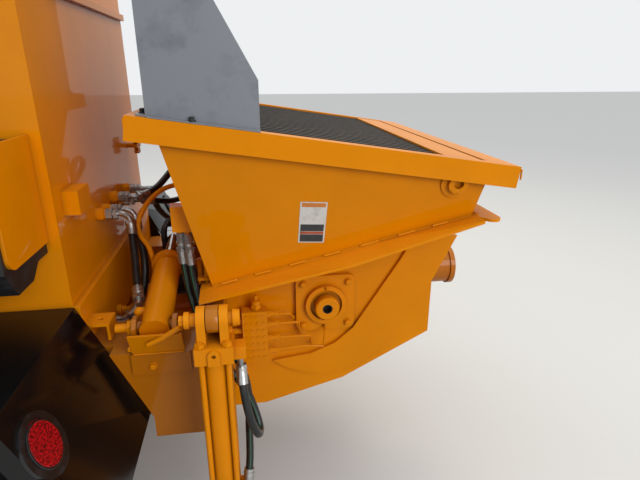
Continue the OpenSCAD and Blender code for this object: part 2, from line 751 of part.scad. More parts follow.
// The bends stop short inside the collars, which join them
short = collar / 2 / bend_r * 180 / PI;
module bend() { rotate_extrude(angle = bend_angle - 2 * short, $fn = 96) translate([bend_r, 0]) circle(r = pipe_r); }
module s_tube() {
    color(dark) {
        difference() {
            union() {
                // Straight inlet with its wear ring, low
                bar_x([bend_x + collar / 2, 0, outlet_z - swing_r], pipe_r, inlet_x - bend_x - collar);
                bar_x([inlet_x - 30, 0, outlet_z - swing_r], ring_r, 30);
                // Two bends that rise to the outlet
                translate([bend_x, 0, outlet_z - swing_r + bend_r]) rotate([90, 0, 0])
                    rotate([0, 0, -90 - bend_angle + short]) bend();
                translate([bend_x - bend_run, 0, outlet_z - bend_r]) rotate([90, 0, 0])
                    rotate([0, 0, 90 - bend_angle + short]) bend();
                // Weld collars round the joints
                bar_x([bend_x - collar, 0, outlet_z - swing_r], pipe_r + 5, 2 * collar);
                translate([bend_x - bend_run / 2, 0, outlet_z - swing_r / 2]) rotate([0, 90 + bend_angle, 0])
                    translate([0, 0, -collar]) cylinder(r = pipe_r + 5, h = 2 * collar);
                // Outlet end, held in the rear wall
                bar_x([seat_x, 0, outlet_z], seat_r, bend_x - bend_run - seat_x + 14);
                // Crank shaft through the front wall, on a rib
                bar_x([rib_x, 0, outlet_z], 38, crank_x - rib_x);
                block([rib_x, -14, outlet_z - swing_r + pipe_r - 8], [rib_x + 50, 14, outlet_z]);
            }
            bar_x([inlet_x - 50, 0, outlet_z - swing_r], bore_r, 60);
            bar_x([seat_x - 5, 0, outlet_z], outlet_r, 25);
        }
        crank();
    }
}
rib_x = box_front_x - box_t - 100;
module crank() {
    for (x = [crank_x - crank_gap - cheek_plate, crank_x + crank_gap]) translate([x, 0, outlet_z]) rotate([90, 0, 90])
        linear_extrude(height = cheek_plate) difference() {
            hull() {
                circle(r = 60);
                for (s = [-1, 1]) translate([s * pin_y, crank_r]) circle(r = 30);
            }
            for (s = [-1, 1]) translate([s * pin_y, crank_r]) circle(r = 15);
        }
    bar_x([crank_x - crank_gap - 1, 0, outlet_z], 56, 2 * crank_gap + 2);
}

// Shift cylinders, from the rear brackets up to the crank
foot = [crank_x, 490, 798];
shift_vec = [0, pin_y - foot.y, outlet_z + crank_r - foot.z];
shift_len = norm(shift_vec);
shift_tilt = atan2(shift_vec.z, -shift_vec.y);
shift_r = 40;
shift_rod_r = 18;
shift_bore_r = 32;
// Ends of the bore along the cylinder, its piston at rest and the outer end of its head
shift_bore = [24, 282];
shift_piston = [143, 163];
shift_head = 305;
shift_port = 62;
foot_pin_r = 16;
// Side play and thickness of the ears that hold the foot
ear_gap = 6;
ear_t = 12;
// Puts children at the left foot pin, with +Z along the cylinder
module on_shift() { translate(foot) rotate([90 - shift_tilt, 0, 0]) children(); }
module across(z, r, len) { translate([-len / 2, 0, z]) rotate([0, 90, 0]) cylinder(r = r, h = len); }
module shift_barrel() {
    difference() {
        union() {
            translate([0, 0, -shift_bore[0]]) cylinder(r = shift_r, h = shift_bore[0] + shift_head);
            translate([0, 0, shift_bore[1] - 14]) cylinder(r = shift_r + 8, h = 22);
            // Port for the hose, above the foot
            translate([shift_bore_r + 2, 0, shift_port]) rotate([0, 90, 0]) cylinder(r = 13, h = 20);
            translate([shift_bore_r + 22, 0, shift_port]) sphere(r = 14);
        }
        translate([0, 0, shift_bore[0]]) cylinder(r = shift_bore_r, h = shift_bore[1] - shift_bore[0]);
        translate([0, 0, shift_bore[1] - 10]) cylinder(r = shift_rod_r + 0.3, h = shift_head);
        across(0, foot_pin_r + 0.3, 3 * shift_r);
    }
}
module shift_rod() {
    translate([0, 0, shift_piston[0]]) cylinder(r = shift_bore_r - 0.5, h = shift_piston[1] - shift_piston[0]);
    translate([0, 0, shift_piston[1] - 10]) cylinder(r = shift_rod_r, h = shift_len - shift_piston[1] - 10);
    difference() {
        across(shift_len, 28, 36);
        across(shift_len, 16, 40);
    }
}
module shift_barrel_left() { color(paint) on_shift() shift_barrel(); }
module shift_barrel_right() { color(paint) mirror([0, 1, 0]) on_shift() shift_barrel(); }
module shift_rod_left() { color(steel) on_shift() shift_rod(); }
module shift_rod_right() { color(steel) mirror([0, 1, 0]) on_shift() shift_rod(); }

// Rear brackets that carry the legs and the shift cylinders

bracket_y1 = 520;
bracket_z0 = 458;
bracket_z1 = 735;
bracket_t = 14;
bracket_rear_x = -1600;
// Outline beside the fender, whose rear slope it follows
bracket_outline = [[bracket_rear_x, bracket_z0], [-1382, bracket_z0], [-1382, 526], [-1290, bracket_z1],
    [bracket_rear_x, bracket_z1]];
module rear_brackets() {
    color(paint) both_sides() {
        difference() {
            union() {
                side_profile(bracket_outline, box_half, bracket_y1);
                block([-1400, box_half, bracket_z0 + 40], [hood_rear_x - cross_t, hood_half - 10, bracket_z1]);
            }
            side_profile([[bracket_rear_x + bracket_t, 400], [-1398, 400], [-1398, 529], [-1314, bracket_z1 - bracket_t],
                [bracket_rear_x + bracket_t, bracket_z1 - bracket_t]], box_half + bracket_t, bracket_y1 - bracket_t);
            block([-1390, box_half + bracket_t, 400], [hood_rear_x - cross_t - bracket_t, hood_half - 10 - bracket_t,
                bracket_z1 - bracket_t]);
        }
        // Clevis ears for the shift cylinder's foot
        for (x = [foot.x - shift_r - ear_gap - ear_t, foot.x + shift_r + ear_gap]) side_plate_x(x, ear_t)
            polygon([[foot.y - 26, bracket_z1 - 1], [foot.y - 22, foot.z + 8], [foot.y - 8, foot.z + 30],
                [foot.y + 14, foot.z + 30], [foot.y + 34, foot.z + 10], [foot.y + 38, bracket_z1 - 1]]);
        bar_x([foot.x - shift_r - ear_gap - 2 * ear_t, foot.y, foot.z], foot_pin_r, 2 * (shift_r + ear_gap + 2 * ear_t));
        // Arm and eye that hold the leg cylinder's clevis
        side_plate_x(leg_x - leg_eye_w / 2, leg_eye_w) difference() {
            union() {
                translate([leg_y, leg_pin_z]) circle(r = 32);
                polygon([[box_half + 20, bracket_z1 - 1], [box_half + 20, 830], [leg_y - 80, leg_pin_z - 37],
                    [leg_y - 24, leg_pin_z + 21], [leg_y + 12, leg_pin_z - 27], [leg_y - 60, leg_pin_z - 59],
                    [bracket_y1 - 20, 805], [bracket_y1 - 40, bracket_z1 - 1]]);
            }
            translate([leg_y, leg_pin_z]) circle(r = 16.3);
        }
        // Lip along the top of the outer wall, under the hoses
        block([-1500, bracket_y1 - 1, bracket_z1 - 62], [-1345, bracket_y1 + 8, bracket_z1]);
    }
}
module side_plate_x(x, t) { translate([x, 0, 0]) rotate([90, 0, 90]) linear_extrude(height = t) children(); }

// Leg cylinders with square heads and tie rods

leg_pin_z = leg_high_z + 55;
// The eye on the arm, the clevis ears beside it, and the gap between them
leg_eye_w = 28;
leg_ear = 20;
leg_gap = 2;
tie_at = 31;
tie_r = 7;
module leg_barrels() {
    ear_x = [-leg_eye_w / 2 - leg_gap - leg_ear, leg_eye_w / 2 + leg_gap];
    color(paint) both_sides() translate([leg_x, leg_y, 0]) {
        difference() {
            union() {
                translate([-leg_head / 2, -leg_head / 2, leg_high_z - 42]) cube([leg_head, leg_head, 42]);
                translate([-leg_head / 2, -leg_head / 2, leg_low_z]) cube([leg_head, leg_head, 60]);
                translate([0, 0, leg_low_z + 50]) cylinder(r = leg_r, h = leg_high_z - leg_low_z - 90);
                for (x = [-1, 1]) for (y = [-1, 1]) translate([x * tie_at, y * tie_at, leg_low_z - 12])
                    cylinder(r = tie_r, h = leg_high_z - leg_low_z + 26);
                for (x = ear_x) translate([x, -32, leg_high_z - 1]) cube([leg_ear, 64, 56]);
                for (x = ear_x) translate([x, 0, leg_pin_z]) rotate([0, 90, 0]) cylinder(r = 32, h = leg_ear);
                // Round-topped lug on the near face of the head
                translate([-14, leg_head / 2 - 1, leg_high_z - 42]) cube([28, 7, 26]);
                translate([0, leg_head / 2 - 1, leg_high_z - 16]) rotate([-90, 0, 0]) cylinder(r = 14, h = 7);
                // Port blocks for the hoses, at the top and at the bottom
                translate([-leg_head / 2 - 28, -18, leg_high_z - 48]) cube([29, 36, 34]);
                translate([-leg_head / 2 - 26, -14, leg_low_z + 20]) cube([27, 28, 24]);
            }
            translate([0, 0, leg_low_z + 40]) cylinder(r = leg_r - 6, h = leg_high_z - leg_low_z - 90);
            translate([0, 0, leg_low_z - 20]) cylinder(r = leg_rod_r + 0.3, h = 200);
            translate([0, leg_head / 2 - 2, leg_high_z - 16]) rotate([-90, 0, 0]) cylinder(r = 5, h = 9);
        }
        translate([-50, 0, leg_pin_z]) rotate([0, 90, 0]) cylinder(r = 16, h = 110);
        translate([52, 0, leg_pin_z]) rotate([0, 90, 0]) cylinder(r = 20, h = 12);
    }
}
module leg_rod() {
    translate([leg_x, leg_y, 0]) {
        translate([0, 0, 500]) cylinder(r = leg_r - 6.5, h = 36);
        translate([0, 0, 30]) cylinder(r = leg_rod_r, h = 480);
        translate([0, 0, 12]) cylinder(r1 = 60, r2 = 34, h = 40);
        cylinder(r = 110, h = 14);
    }
}
module leg_rod_left() { color(steel) leg_rod(); }
module leg_rod_right() { color(steel) mirror([0, 1, 0]) leg_rod(); }

// Delivery outlet

module delivery_outlet() {
    color(paint) difference() {
        union() {
            bar_x([outlet_end_x, 0, outlet_z], outlet_r + 8, box_rear_x - outlet_end_x);
            bar_x([outlet_end_x, 0, outlet_z], outlet_r + 14, 18);
            bar_x([box_rear_x - 28, 0, outlet_z], outlet_r + 60, 27.7);
        }
        bar_x([outlet_end_x - 1, 0, outlet_z], outlet_r, 300);
    }
}

// Fittings on the rear face of the enclosure

fitting_places = [[172, 1027], [108, 1024], [0, 1039], [-60, 1010], [-172, 1027]];
// Bosses on the frame's rear cross plate
cross_places = [[250, 703], [172, 698]];
cross_x = hood_rear_x - cross_t;
// Valve block on the funnel's front panel: front face, heights, and its two ports in X and Y
port_x = -1470;
port_z0 = 1040;
port_z1 = 1110;
ports = [[-1486, 400], [-1508, 412]];
// Small block for the painted hose
stub_x = -1478;
stub_y = 40;
stub_z = 1085;
// Outer face of the funnel's front panel at a height
function panel_x(z) = low_front_x + (top_front.x - low_front_x) * (z - low_ring[0].z) / (top_front.y - low_ring[0].z);
module panel_block(x, z0, z1, y0, y1) {
    side_profile([[panel_x(z0) + 0.3, z0], [x, z0], [x, z1], [panel_x(z1) + 0.3, z1]], y0, y1);
}
module bulkhead_fittings() {
    color(steel) for (p = fitting_places) bar_x([hood_rear_x - 46, p.x, p.y], 13, 46);
    color(paint) {
        for (p = fitting_places) bar_x([hood_rear_x - 14, p.x, p.y], 20, 14);
        for (p = cross_places) bar_x([cross_x - 16, p.x, p.y], 15, 15.7);
        // Star knob near the far corner, and a small junction box near the left one
        bar_x([hood_rear_x - 30, -320, 1168], 9, 30);
        for (a = [0, 60, 120]) translate([hood_rear_x - 30, -320, 1168]) rotate([a, 0, 0])
            translate([-16, -32, -7]) cube([16, 64, 14]);
        block([hood_rear_x - 40, 330, 1098], [hood_rear_x, 425, 1160]);
        panel_block(stub_x, stub_z - 11, stub_z + 11, stub_y - 11, stub_y + 11);
        both_sides() panel_block(port_x, port_z0, port_z1, 385, 430);
    }
    color(steel) both_sides() for (p = ports) bar_z([p.x, p.y, port_z0 - 40], 9, 41);
}

// Grease distributor and its pipes

manifold_x = shaft_x + 185;
manifold_z = shaft_z - 166;
manifold_w = 75;
manifold_h = 174;
manifold_y0 = box_half + 24;
manifold_y1 = box_half + 62;
pipe_y = box_half + 52;
grease_pipe_r = 4;
// Each pipe's bends in X and Z, from the block towards the bearing
grease_pipes = [
    [[manifold_x + 9, manifold_z + 160], [manifold_x - 70, manifold_z + 157], [manifold_x - 84, manifold_z + 124]],
    [[manifold_x + 9, manifold_z + 126], [manifold_x - 96, manifold_z + 126], [manifold_x - 106, manifold_z + 62]],
    [[manifold_x + 9, manifold_z + 78], [manifold_x - 132, manifold_z + 76], [manifold_x - 140, manifold_z + 26]],
    [[manifold_x + 9, manifold_z + 32], [manifold_x - 110, manifold_z + 40], [shaft_x + 12, manifold_z + 34],
        [shaft_x + 6, shaft_z - 78]]];
// Where each pipe turns in to: the box wall, the cheek plate or the bearing's flange
pipe_end_y = [box_half + 0.3, box_half + 0.3, box_half + 0.3, box_half + plate_h + 0.8];
module grease_manifold() {
    color(paint) {
        block([manifold_x, manifold_y0, manifold_z], [manifold_x + manifold_w, manifold_y1, manifold_z + manifold_h]);
        block([manifold_x + 14, box_half, manifold_z + 20], [manifold_x + 60, manifold_y0 + 1, manifold_z + 150]);
        for (i = [0 : 3]) {
            points = grease_pipes[i];
            last = points[len(points) - 1];
            turn_y = i < 3 ? box_half + 20 : pipe_y;
            hose(concat([for (k = [0 : len(points) - 2]) [points[k].x, pipe_y, points[k].y]],
                [[last.x, turn_y, last.y], [last.x, pipe_end_y[i], last.y]]), grease_pipe_r, 8, 1);
            bar_x([manifold_x - 34, pipe_y, points[0].y], 8, 22);
        }
        // Fittings on the block's other side and on its top
        for (z = [44, 104, 140]) bar_x([manifold_x + manifold_w - 1, pipe_y - 10, manifold_z + z], 8, 26);
        bar_z([manifold_x + 32, pipe_y - 12, manifold_z + manifold_h - 1], 13, 30);
        bar_z([manifold_x + 32, pipe_y - 12, manifold_z + manifold_h + 28], 6, 18);
    }
}

// Hoses, as tubes swept along hand-picked points

function smooth_point(p, i, t) = let (a = p[max(i - 1, 0)], b = p[i], c = p[i + 1], d = p[min(i + 2, len(p) - 1)])
    0.5 * (2 * b + (c - a) * t + (2 * a - 5 * b + 4 * c - d) * t * t + (3 * b - a - 3 * c + d) * t * t * t);
function smooth_path(p, n) = concat([for (i = [0 : len(p) - 2]) for (k = [0 : n - 1]) smooth_point(p, i, k / n)],
    [p[len(p) - 1]]);
function unit3(v) = v / norm(v);
function heading(p, i) = unit3(p[min(i + 1, len(p) - 1)] - p[max(i - 1, 0)]);
// Side vectors carried along the path without twist
function sides_along(p, i, last) = i >= len(p) ? [] :
    let (h = heading(p, i), s = unit3(last - h * (last * h))) concat([s], sides_along(p, i + 1, s));
module hose(points, r, sides = 8, n = 2) {
    p = smooth_path(points, n);
    start = abs(heading(p, 0).z) < 0.9 ? [0, 0, 1] : [0, 1, 0];
    s = sides_along(p, 0, start);
    skin([for (i = [0 : len(p) - 1]) let (h = heading(p, i), v = cross(h, s[i]))
        [for (k = [0 : sides - 1]) p[i] + r * (cos(k * 360 / sides) * s[i] + sin(k * 360 / sides) * v)]]);
}
// Radius of each hose, whether the right side has it too, and its points
hose_routes = [
    // From the rear face to the shift cylinder's foot
    [12, true, [[-1254.8, 172, 1027], [-1264, 172, 1027], [-1280, 172, 1027], [-1297, 176, 1019],
        [-1306, 182, 1006], [-1311, 200, 970], [-1320, 240, 922],
        [-1334, 310, 872], [-1348, 375, 843], [-1357, 418, 826]]],
    // From the rear face down to the frame's cross plate
    [12, false, [[-1254.8, 108, 1024], [-1264, 108, 1024], [-1277, 108, 1024], [-1297, 109, 1014],
        [-1308, 113, 992], [-1312, 125, 955], [-1322, 146, 915],
        [-1332, 180, 860], [-1328, 215, 790], [-1300, 240, 730], [-1268, 250, 706], [-1254, 250, 703],
        [-1247, 250, 703], [-1240.6, 250, 703]]],
    // Painted hose from the funnel's front panel over the shift linkage to the cross plate
    [8, false, [[-1477.2, 40, 1085], [-1470, 40, 1085], [-1460, 40, 1085], [-1444, 48, 1087], [-1400, 80, 1080],
        [-1362, 105, 1055], [-1335, 132, 1020],
        [-1320, 150, 980], [-1330, 165, 945], [-1350, 178, 915], [-1362, 190, 870], [-1358, 182, 800],
        [-1318, 175, 735], [-1276, 172, 703], [-1258, 172, 698], [-1249, 172, 698], [-1240.6, 172, 698]]],
    // Pair to the agitator motor, round the funnel's right side
    [12, false, [[-1254.8, 0, 1039], [-1264, 0, 1039], [-1282, 0, 1039], [-1300, -8, 1038], [-1318, -30, 1038],
        [-1350, -100, 1050], [-1385, -200, 1085],
        [-1405, -300, 1112], [-1422, -420, 1105], [-1450, -520, 1060], [-1505, -575, 985], [-1580, -575, 908],
        [-1640, -562, 845], [-1710, -520, 790], [-1780, -462, 764], [-1820, -442, 758], [-1847.7, -440, 758]]],
    [11, false, [[-1254.8, -60, 1010], [-1264, -60, 1010], [-1282, -60, 1010], [-1300, -68, 1008],
        [-1322, -90, 1000], [-1375, -170, 975], [-1410, -280, 960],
        [-1440, -400, 955], [-1480, -500, 945], [-1530, -545, 925], [-1580, -545, 903], [-1640, -532, 845],
        [-1710, -495, 800], [-1780, -455, 799], [-1822, -442, 801.5], [-1854.4, -440, 783.2]]],
    // Pair from the valve block to the leg's upper and lower ports
    [10, true, [[-1486, 400, 999.2], [-1486, 400, 990], [-1486, 400, 975], [-1488, 400, 940], [-1493, 402, 880],
        [-1505, 416, 820], [-1534, 500, 780],
        [-1566, 570, 764], [-1607, 611, 722], [-1642, 627, 675], [-1665, 640, 615], [-1676, 664, 575],
        [-1670, 702, 590], [-1653, 712, 650], [-1642, 700, 720], [-1639, 678, 765], [-1638, 673, 780],
        [-1638, 673, 790], [-1638, 673, 801.2]]],
    [10, true, [[-1508, 412, 999.2], [-1508, 412, 990], [-1508, 412, 975], [-1509, 412, 940], [-1514, 414, 880],
        [-1530, 438, 820], [-1564, 528, 796],
        [-1602, 582, 774], [-1634, 588, 715], [-1650, 600, 640], [-1648, 626, 560], [-1646, 650, 480],
        [-1640, 668, 425], [-1638, 673, 402], [-1638, 673, 390], [-1638, 673, 374.8]]]];
module hydraulic_hoses() {
    color(black) for (route = hose_routes) {
        hose(route[2], route[0]);
        if (route[1]) mirror([0, 1, 0]) hose(route[2], route[0]);
    }
}

// Tongue jack

module jack_tube() {
    color(black) translate([jack_x, 0, 0]) {
        difference() {
            translate([-jack_half, -jack_half, 330]) cube([2 * jack_half, 2 * jack_half, 620]);
            translate([-jack_half + 6, -jack_half + 6, 320]) cube([2 * jack_half - 12, 2 * jack_half - 12, 590]);
        }
        translate([-60, -60, bar_top_z + 0.3]) difference() {
            cube([120, 120, 12]);
            translate([60 - jack_half + 1, 60 - jack_half + 1, -1]) cube([2 * jack_half - 2, 2 * jack_half - 2, 20]);
        }
        translate([0, 0, 950]) cylinder(r = 14, h = 14);
        translate([0, -8, 964]) cube([150, 16, 8]);
        translate([142, 0, 964]) cylinder(r = 11, h = 80);
    }
}
jack_in = jack_half - 6 - 0.3;
module jack_leg() {
    color(steel) translate([jack_x, 0, 0]) {
        translate([-jack_in, -jack_in, 14]) cube([2 * jack_in, 2 * jack_in, 560]);
        translate([-90, -90, 0]) cube([180, 180, 16]);
    }
}

// Wheels

module wheel_rim() {
    difference() {
        union() {
            rotate_extrude() polygon([[rim_r - 8, -88], [rim_r + 14, -88], [rim_r + 14, -80], [rim_r, -74], [rim_r, -30],
                [rim_r - 22, -20], [rim_r - 22, 20], [rim_r, 40], [rim_r, 74], [rim_r + 14, 80], [rim_r + 14, 88],
                [rim_r - 8, 88], [rim_r - 8, 30], [rim_r - 40, 24], [110, 30], [96, 12], [62, 12], [62, 2],
        [100, 0],
                [120, 16], [rim_r - 34, 12], [rim_r - 30, -26], [rim_r - 8, -36]]);
            cylinder(r = 56, h = 50);
            translate([0, 0, 2]) cylinder(r = 70, h = 8);
        }
        translate([0, 0, -100]) cylinder(r = 20.5, h = 124);
        for (a = [0 : 45 : 315]) rotate(a + 22.5) translate([148, 0, 0]) cylinder(r = 15, h = 60);
    }
    for (a = [0 : 45 : 315]) rotate(a) translate([82.5, 0, 10]) cylinder(r = 10, h = 14);
}
module tyre_solid() {
    w = tyre_w / 2;
    rotate_extrude($fn = 72) difference() {
        polygon([[rim_r + 0.3, -73.5], [rim_r + 14.3, -79.5], [rim_r + 14.3, -89], [rim_r + 40, -w + 6], [rim_r + 90, -w], [tyre_r - 45, -w + 6],
            [tyre_r - 12, -w + 22], [tyre_r, -w + 44], [tyre_r, w - 44], [tyre_r - 12, w - 22],
        [tyre_r - 45, w - 6],
            [rim_r + 90, w], [rim_r + 40, w - 6], [rim_r + 14.3, 89], [rim_r + 14.3, 79.5], [rim_r + 0.3, 73.5]]);
        for (y = [-36, 0, 36]) translate([tyre_r - 10, y - 5]) square([12, 10]);
    }
}
module at_wheel(side) { translate([axle_x, side * wheel_y, tyre_r]) rotate([-90 * side, 0, 0]) children(); }
module rim_left() { color("#e8e8e6") at_wheel(1) wheel_rim(); }
module rim_right() { color("#e8e8e6") at_wheel(-1) wheel_rim(); }
module tyre_left() { color(black) at_wheel(1) tyre_solid(); }
module tyre_right() { color(black) at_wheel(-1) tyre_solid(); }

// Side doors, hinged at their front edge

module door_left() {
    color(paint) {
        difference() {
            block([door_x0 + door_gap, hood_half - door_t + 2, door_z0 + door_gap],
                [door_x1 - door_gap, hood_half + 2, door_z1 - door_gap]);
            for (i = [0 : 7]) block([300, hood_half - 20, door_z0 + 120 + 50 * i],
                [720, hood_half + 10, door_z0 + 132 + 50 * i]);
        }
        block([door_x0 + 60, hood_half + 1, door_z0 + 280], [door_x0 + 180, hood_half + 14, door_z0 + 340]);
        for (z = hinge_z) door_knuckle(z);
    }
}
module door_right() { mirror([0, 1, 0]) door_left(); }

// Grate: flat bars front to rear with cross bars under them

grate_y = rim_half - rim_side - 8;
module grate() {
    x0 = -rim_run + rim_rear + 8;
    x1 = -rim_front - 8;
    color(dark) in_rim() difference() {
        union() {
            for (i = [0 : grate_bars - 1]) {
                y = -grate_y + 4 + i * (2 * grate_y - 8) / (grate_bars - 1);
                block([x0, y - 4, -36], [x1, y + 4, -6]);
            }
            for (x = [x0, x0 + (x1 - x0) / 3, x0 + 2 * (x1 - x0) / 3, x1 - 14])
                block([x, -grate_y, grate_low], [x + 10, grate_y, -22]);
            // Side ears that turn on the hinge pins
            both_sides() block([grate_pin.x - 20, grate_y - 12, grate_pin.y - 17], [x1, grate_y, -3]);
        }
        both_sides() bar_y([grate_pin.x, grate_y - 30, grate_pin.y], grate_pin_r + hinge_fit, 40);
    }
}

main_frame();
drawbar();
drawbar_eye();
axle_beam();
leaf_springs();
fender_left();
fender_right();
lamp_rings();
lamp_lenses();
enclosure_body();
roof_cover();
front_grille();
exhaust_stack();
engine_block();
fuel_tank();
tank_guards();
pumping_cylinders();
water_box();
drive_cylinders();
valve_box();
trough_cheeks();
hopper_funnel();
splash_guard();
agitator_bearings();
agitator_motor();
grease_manifold();
rear_brackets();
leg_barrels();
delivery_outlet();
bulkhead_fittings();
hydraulic_hoses();
jack_tube();
rim_left();
tyre_left();
rim_right();
tyre_right();
door_left();
door_right();
grate();
agitator();
s_tube();
shift_barrel_left();
shift_barrel_right();
shift_rod_left();
shift_rod_right();
leg_rod_left();
leg_rod_right();
jack_leg();
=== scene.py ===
import math

import bmesh
import bpy
from mathutils import Matrix, Vector


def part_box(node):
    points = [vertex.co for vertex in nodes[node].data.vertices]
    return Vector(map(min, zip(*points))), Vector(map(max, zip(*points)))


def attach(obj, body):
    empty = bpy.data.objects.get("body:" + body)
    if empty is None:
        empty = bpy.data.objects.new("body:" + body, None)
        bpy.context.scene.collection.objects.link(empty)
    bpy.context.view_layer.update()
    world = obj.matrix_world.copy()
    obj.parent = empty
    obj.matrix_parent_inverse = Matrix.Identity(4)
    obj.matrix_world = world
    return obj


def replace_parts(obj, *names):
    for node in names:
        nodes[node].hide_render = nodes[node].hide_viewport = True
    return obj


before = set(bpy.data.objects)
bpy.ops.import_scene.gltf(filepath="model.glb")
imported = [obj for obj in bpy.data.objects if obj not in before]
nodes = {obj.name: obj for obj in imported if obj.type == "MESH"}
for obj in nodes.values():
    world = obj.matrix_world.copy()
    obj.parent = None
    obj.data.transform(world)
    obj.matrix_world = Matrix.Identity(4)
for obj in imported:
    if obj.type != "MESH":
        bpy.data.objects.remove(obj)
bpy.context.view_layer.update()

# The view: a hand-held camera at head height beside the left rear corner, looking across the
# machine and down at the hopper. It is a wide lens, so upright edges lean out towards the frame's corners.
eye_place = Vector((-1.680, 1.690, 1.450))
look_down = math.radians(19.5)
look_flat = Vector((-0.1478, -0.9890, 0.0))
focal_px = 481
photo_width_px = 640
look = look_flat * math.cos(look_down) + Vector((0, 0, -math.sin(look_down)))
camera_data = bpy.data.cameras.new("view")
camera_data.sensor_width = 36
camera_data.lens = camera_data.sensor_width * focal_px / photo_width_px
camera_data.clip_start = 0.05
camera = bpy.data.objects.new("view", camera_data)
camera.location = eye_place
camera.rotation_mode = "QUATERNION"
camera.rotation_quaternion = look.to_track_quat("-Z", "Y")
bpy.context.scene.collection.objects.link(camera)
bpy.context.scene.camera = camera
bpy.context.scene.view_settings.view_transform = "Standard"

# The studio: a pale floor under a white room. One broad soft lamp hangs high over the far rear corner, a
# stronger one stands behind the camera's shoulder, and a weaker one lights the front.


def linear(colour):
    """An sRGB hex colour such as 'E08C0C' as linear red, green, blue and alpha."""
    parts = [int(colour[i:i + 2], 16) / 255 for i in (0, 2, 4)]
    return [p / 12.92 if p <= 0.04045 else ((p + 0.055) / 1.055) ** 2.4 for p in parts] + [1.0]


def add(tree, kind, inputs=None, **settings):
    """Adds a shader node. inputs gives each socket a value or the socket that feeds it."""
    made = tree.nodes.new(kind)
    for name, value in settings.items():
        setattr(made, name, value)
    for socket, value in (inputs or {}).items():
        if isinstance(value, bpy.types.NodeSocket):
            tree.links.new(value, made.inputs[socket])
        else:
            made.inputs[socket].default_value = value
    return made


room = bpy.data.worlds.new("room")
bpy.context.scene.world = room
room.use_nodes = True
room.node_tree.nodes.clear()
rays = add(room.node_tree, "ShaderNodeLightPath")
seen = add(room.node_tree, "ShaderNodeMath", {0: rays.outputs["Is Camera Ray"], 1: rays.outputs["Is Glossy Ray"]},
           operation="MAXIMUM")
seen = add(room.node_tree, "ShaderNodeMath", {0: seen.outputs[0], 1: rays.outputs["Is Transmission Ray"]},
           operation="MAXIMUM")
# An overcast sky is brightest overhead, so the fill grows from the horizon to the top.
sky_place = add(room.node_tree, "ShaderNodeTexCoord")
sky_up = add(room.node_tree, "ShaderNodeSeparateXYZ", {0: sky_place.outputs["Generated"]})
sky = add(room.node_tree, "ShaderNodeMapRange", {"Value": sky_up.outputs["Z"], "From Min": 0.0, "From Max": 1.0,
                                                 "To Min": 0.36, "To Max": 1.1})
fill = add(room.node_tree, "ShaderNodeBackground", {"Color": linear("F4F7FB"), "Strength": sky.outputs[0]})
wall = add(room.node_tree, "ShaderNodeBackground", {"Color": linear("EEF0F2"), "Strength": 1.0})
mixed = add(room.node_tree, "ShaderNodeMixShader", {0: seen.outputs[0], 1: fill.outputs[0], 2: wall.outputs[0]})
add(room.node_tree, "ShaderNodeOutputWorld", {"Surface": mixed.outputs[0]})

floor_mesh = bpy.data.meshes.new("floor")
floor_half = 30
floor_mesh.from_pydata([(x * floor_half, y * floor_half, 0) for x, y in ((-1, -1), (1, -1), (1, 1), (-1, 1))],
                       [], [(0, 1, 2, 3)])
floor = bpy.data.objects.new("floor", floor_mesh)
bpy.context.scene.collection.objects.link(floor)
floor_paint = bpy.data.materials.new("pale_floor")
floor_paint.use_nodes = True
floor_shader = floor_paint.node_tree.nodes["Principled BSDF"]
floor_shader.inputs["Roughness"].default_value = 0.9
rays = add(floor_paint.node_tree, "ShaderNodeLightPath")
tones = add(floor_paint.node_tree, "ShaderNodeMix", {"Factor": rays.outputs["Is Diffuse Ray"], "A": linear("D9D8D4"),
                                                     "B": linear("8E8C86")}, data_type="RGBA")
floor_paint.node_tree.links.new(tones.outputs["Result"], floor_shader.inputs["Base Color"])
floor_mesh.materials.append(floor_paint)


def lamp(name, place, aim, size, watts, colour):
    """A square soft lamp at a place, aimed at a point."""
    data = bpy.data.lights.new(name, "AREA")
    data.size, data.energy, data.color = size, watts, linear(colour)[:3]
    made = bpy.data.objects.new(name, data)
    made.location = place
    made.rotation_mode = "QUATERNION"
    made.rotation_quaternion = (Vector(aim) - Vector(place)).to_track_quat("-Z", "Y")
    bpy.context.scene.collection.objects.link(made)


lamp("high_lamp", (-3.2, -2.7, 5.2), (-1.5, 0, 1.3), 2.2, 80, "FFF3DC")
lamp("near_lamp", (-4.5, 5.5, 3.2), (-1.3, 0.2, 1.1), 3.2, 190, "FAFAFA")
lamp("front_lamp", (4.5, -3.5, 4.0), (0, 0, 1.0), 3.0, 90, "FAFAFA")

# Sprayed two-pack polyurethane enamel on welded plate. It is a deep orange yellow with a mirror-like
# clear top coat and a thin film of dust on what faces up; its very fine orange peel is not drawn.


def new_material(name, colour, roughness, metallic=0.0, **sockets):
    """A material with its Principled shader set, and the tree and shader to build on."""
    material = bpy.data.materials.new(name)
    material.use_nodes = True
    tree = material.node_tree
    shader = tree.nodes["Principled BSDF"]
    for socket, value in {"Base Color": linear(colour), "Roughness": roughness, "Metallic": metallic,
                          **{k.replace("_", " "): v for k, v in sockets.items()}}.items():
        shader.inputs[socket].default_value = value
    return material, tree, shader


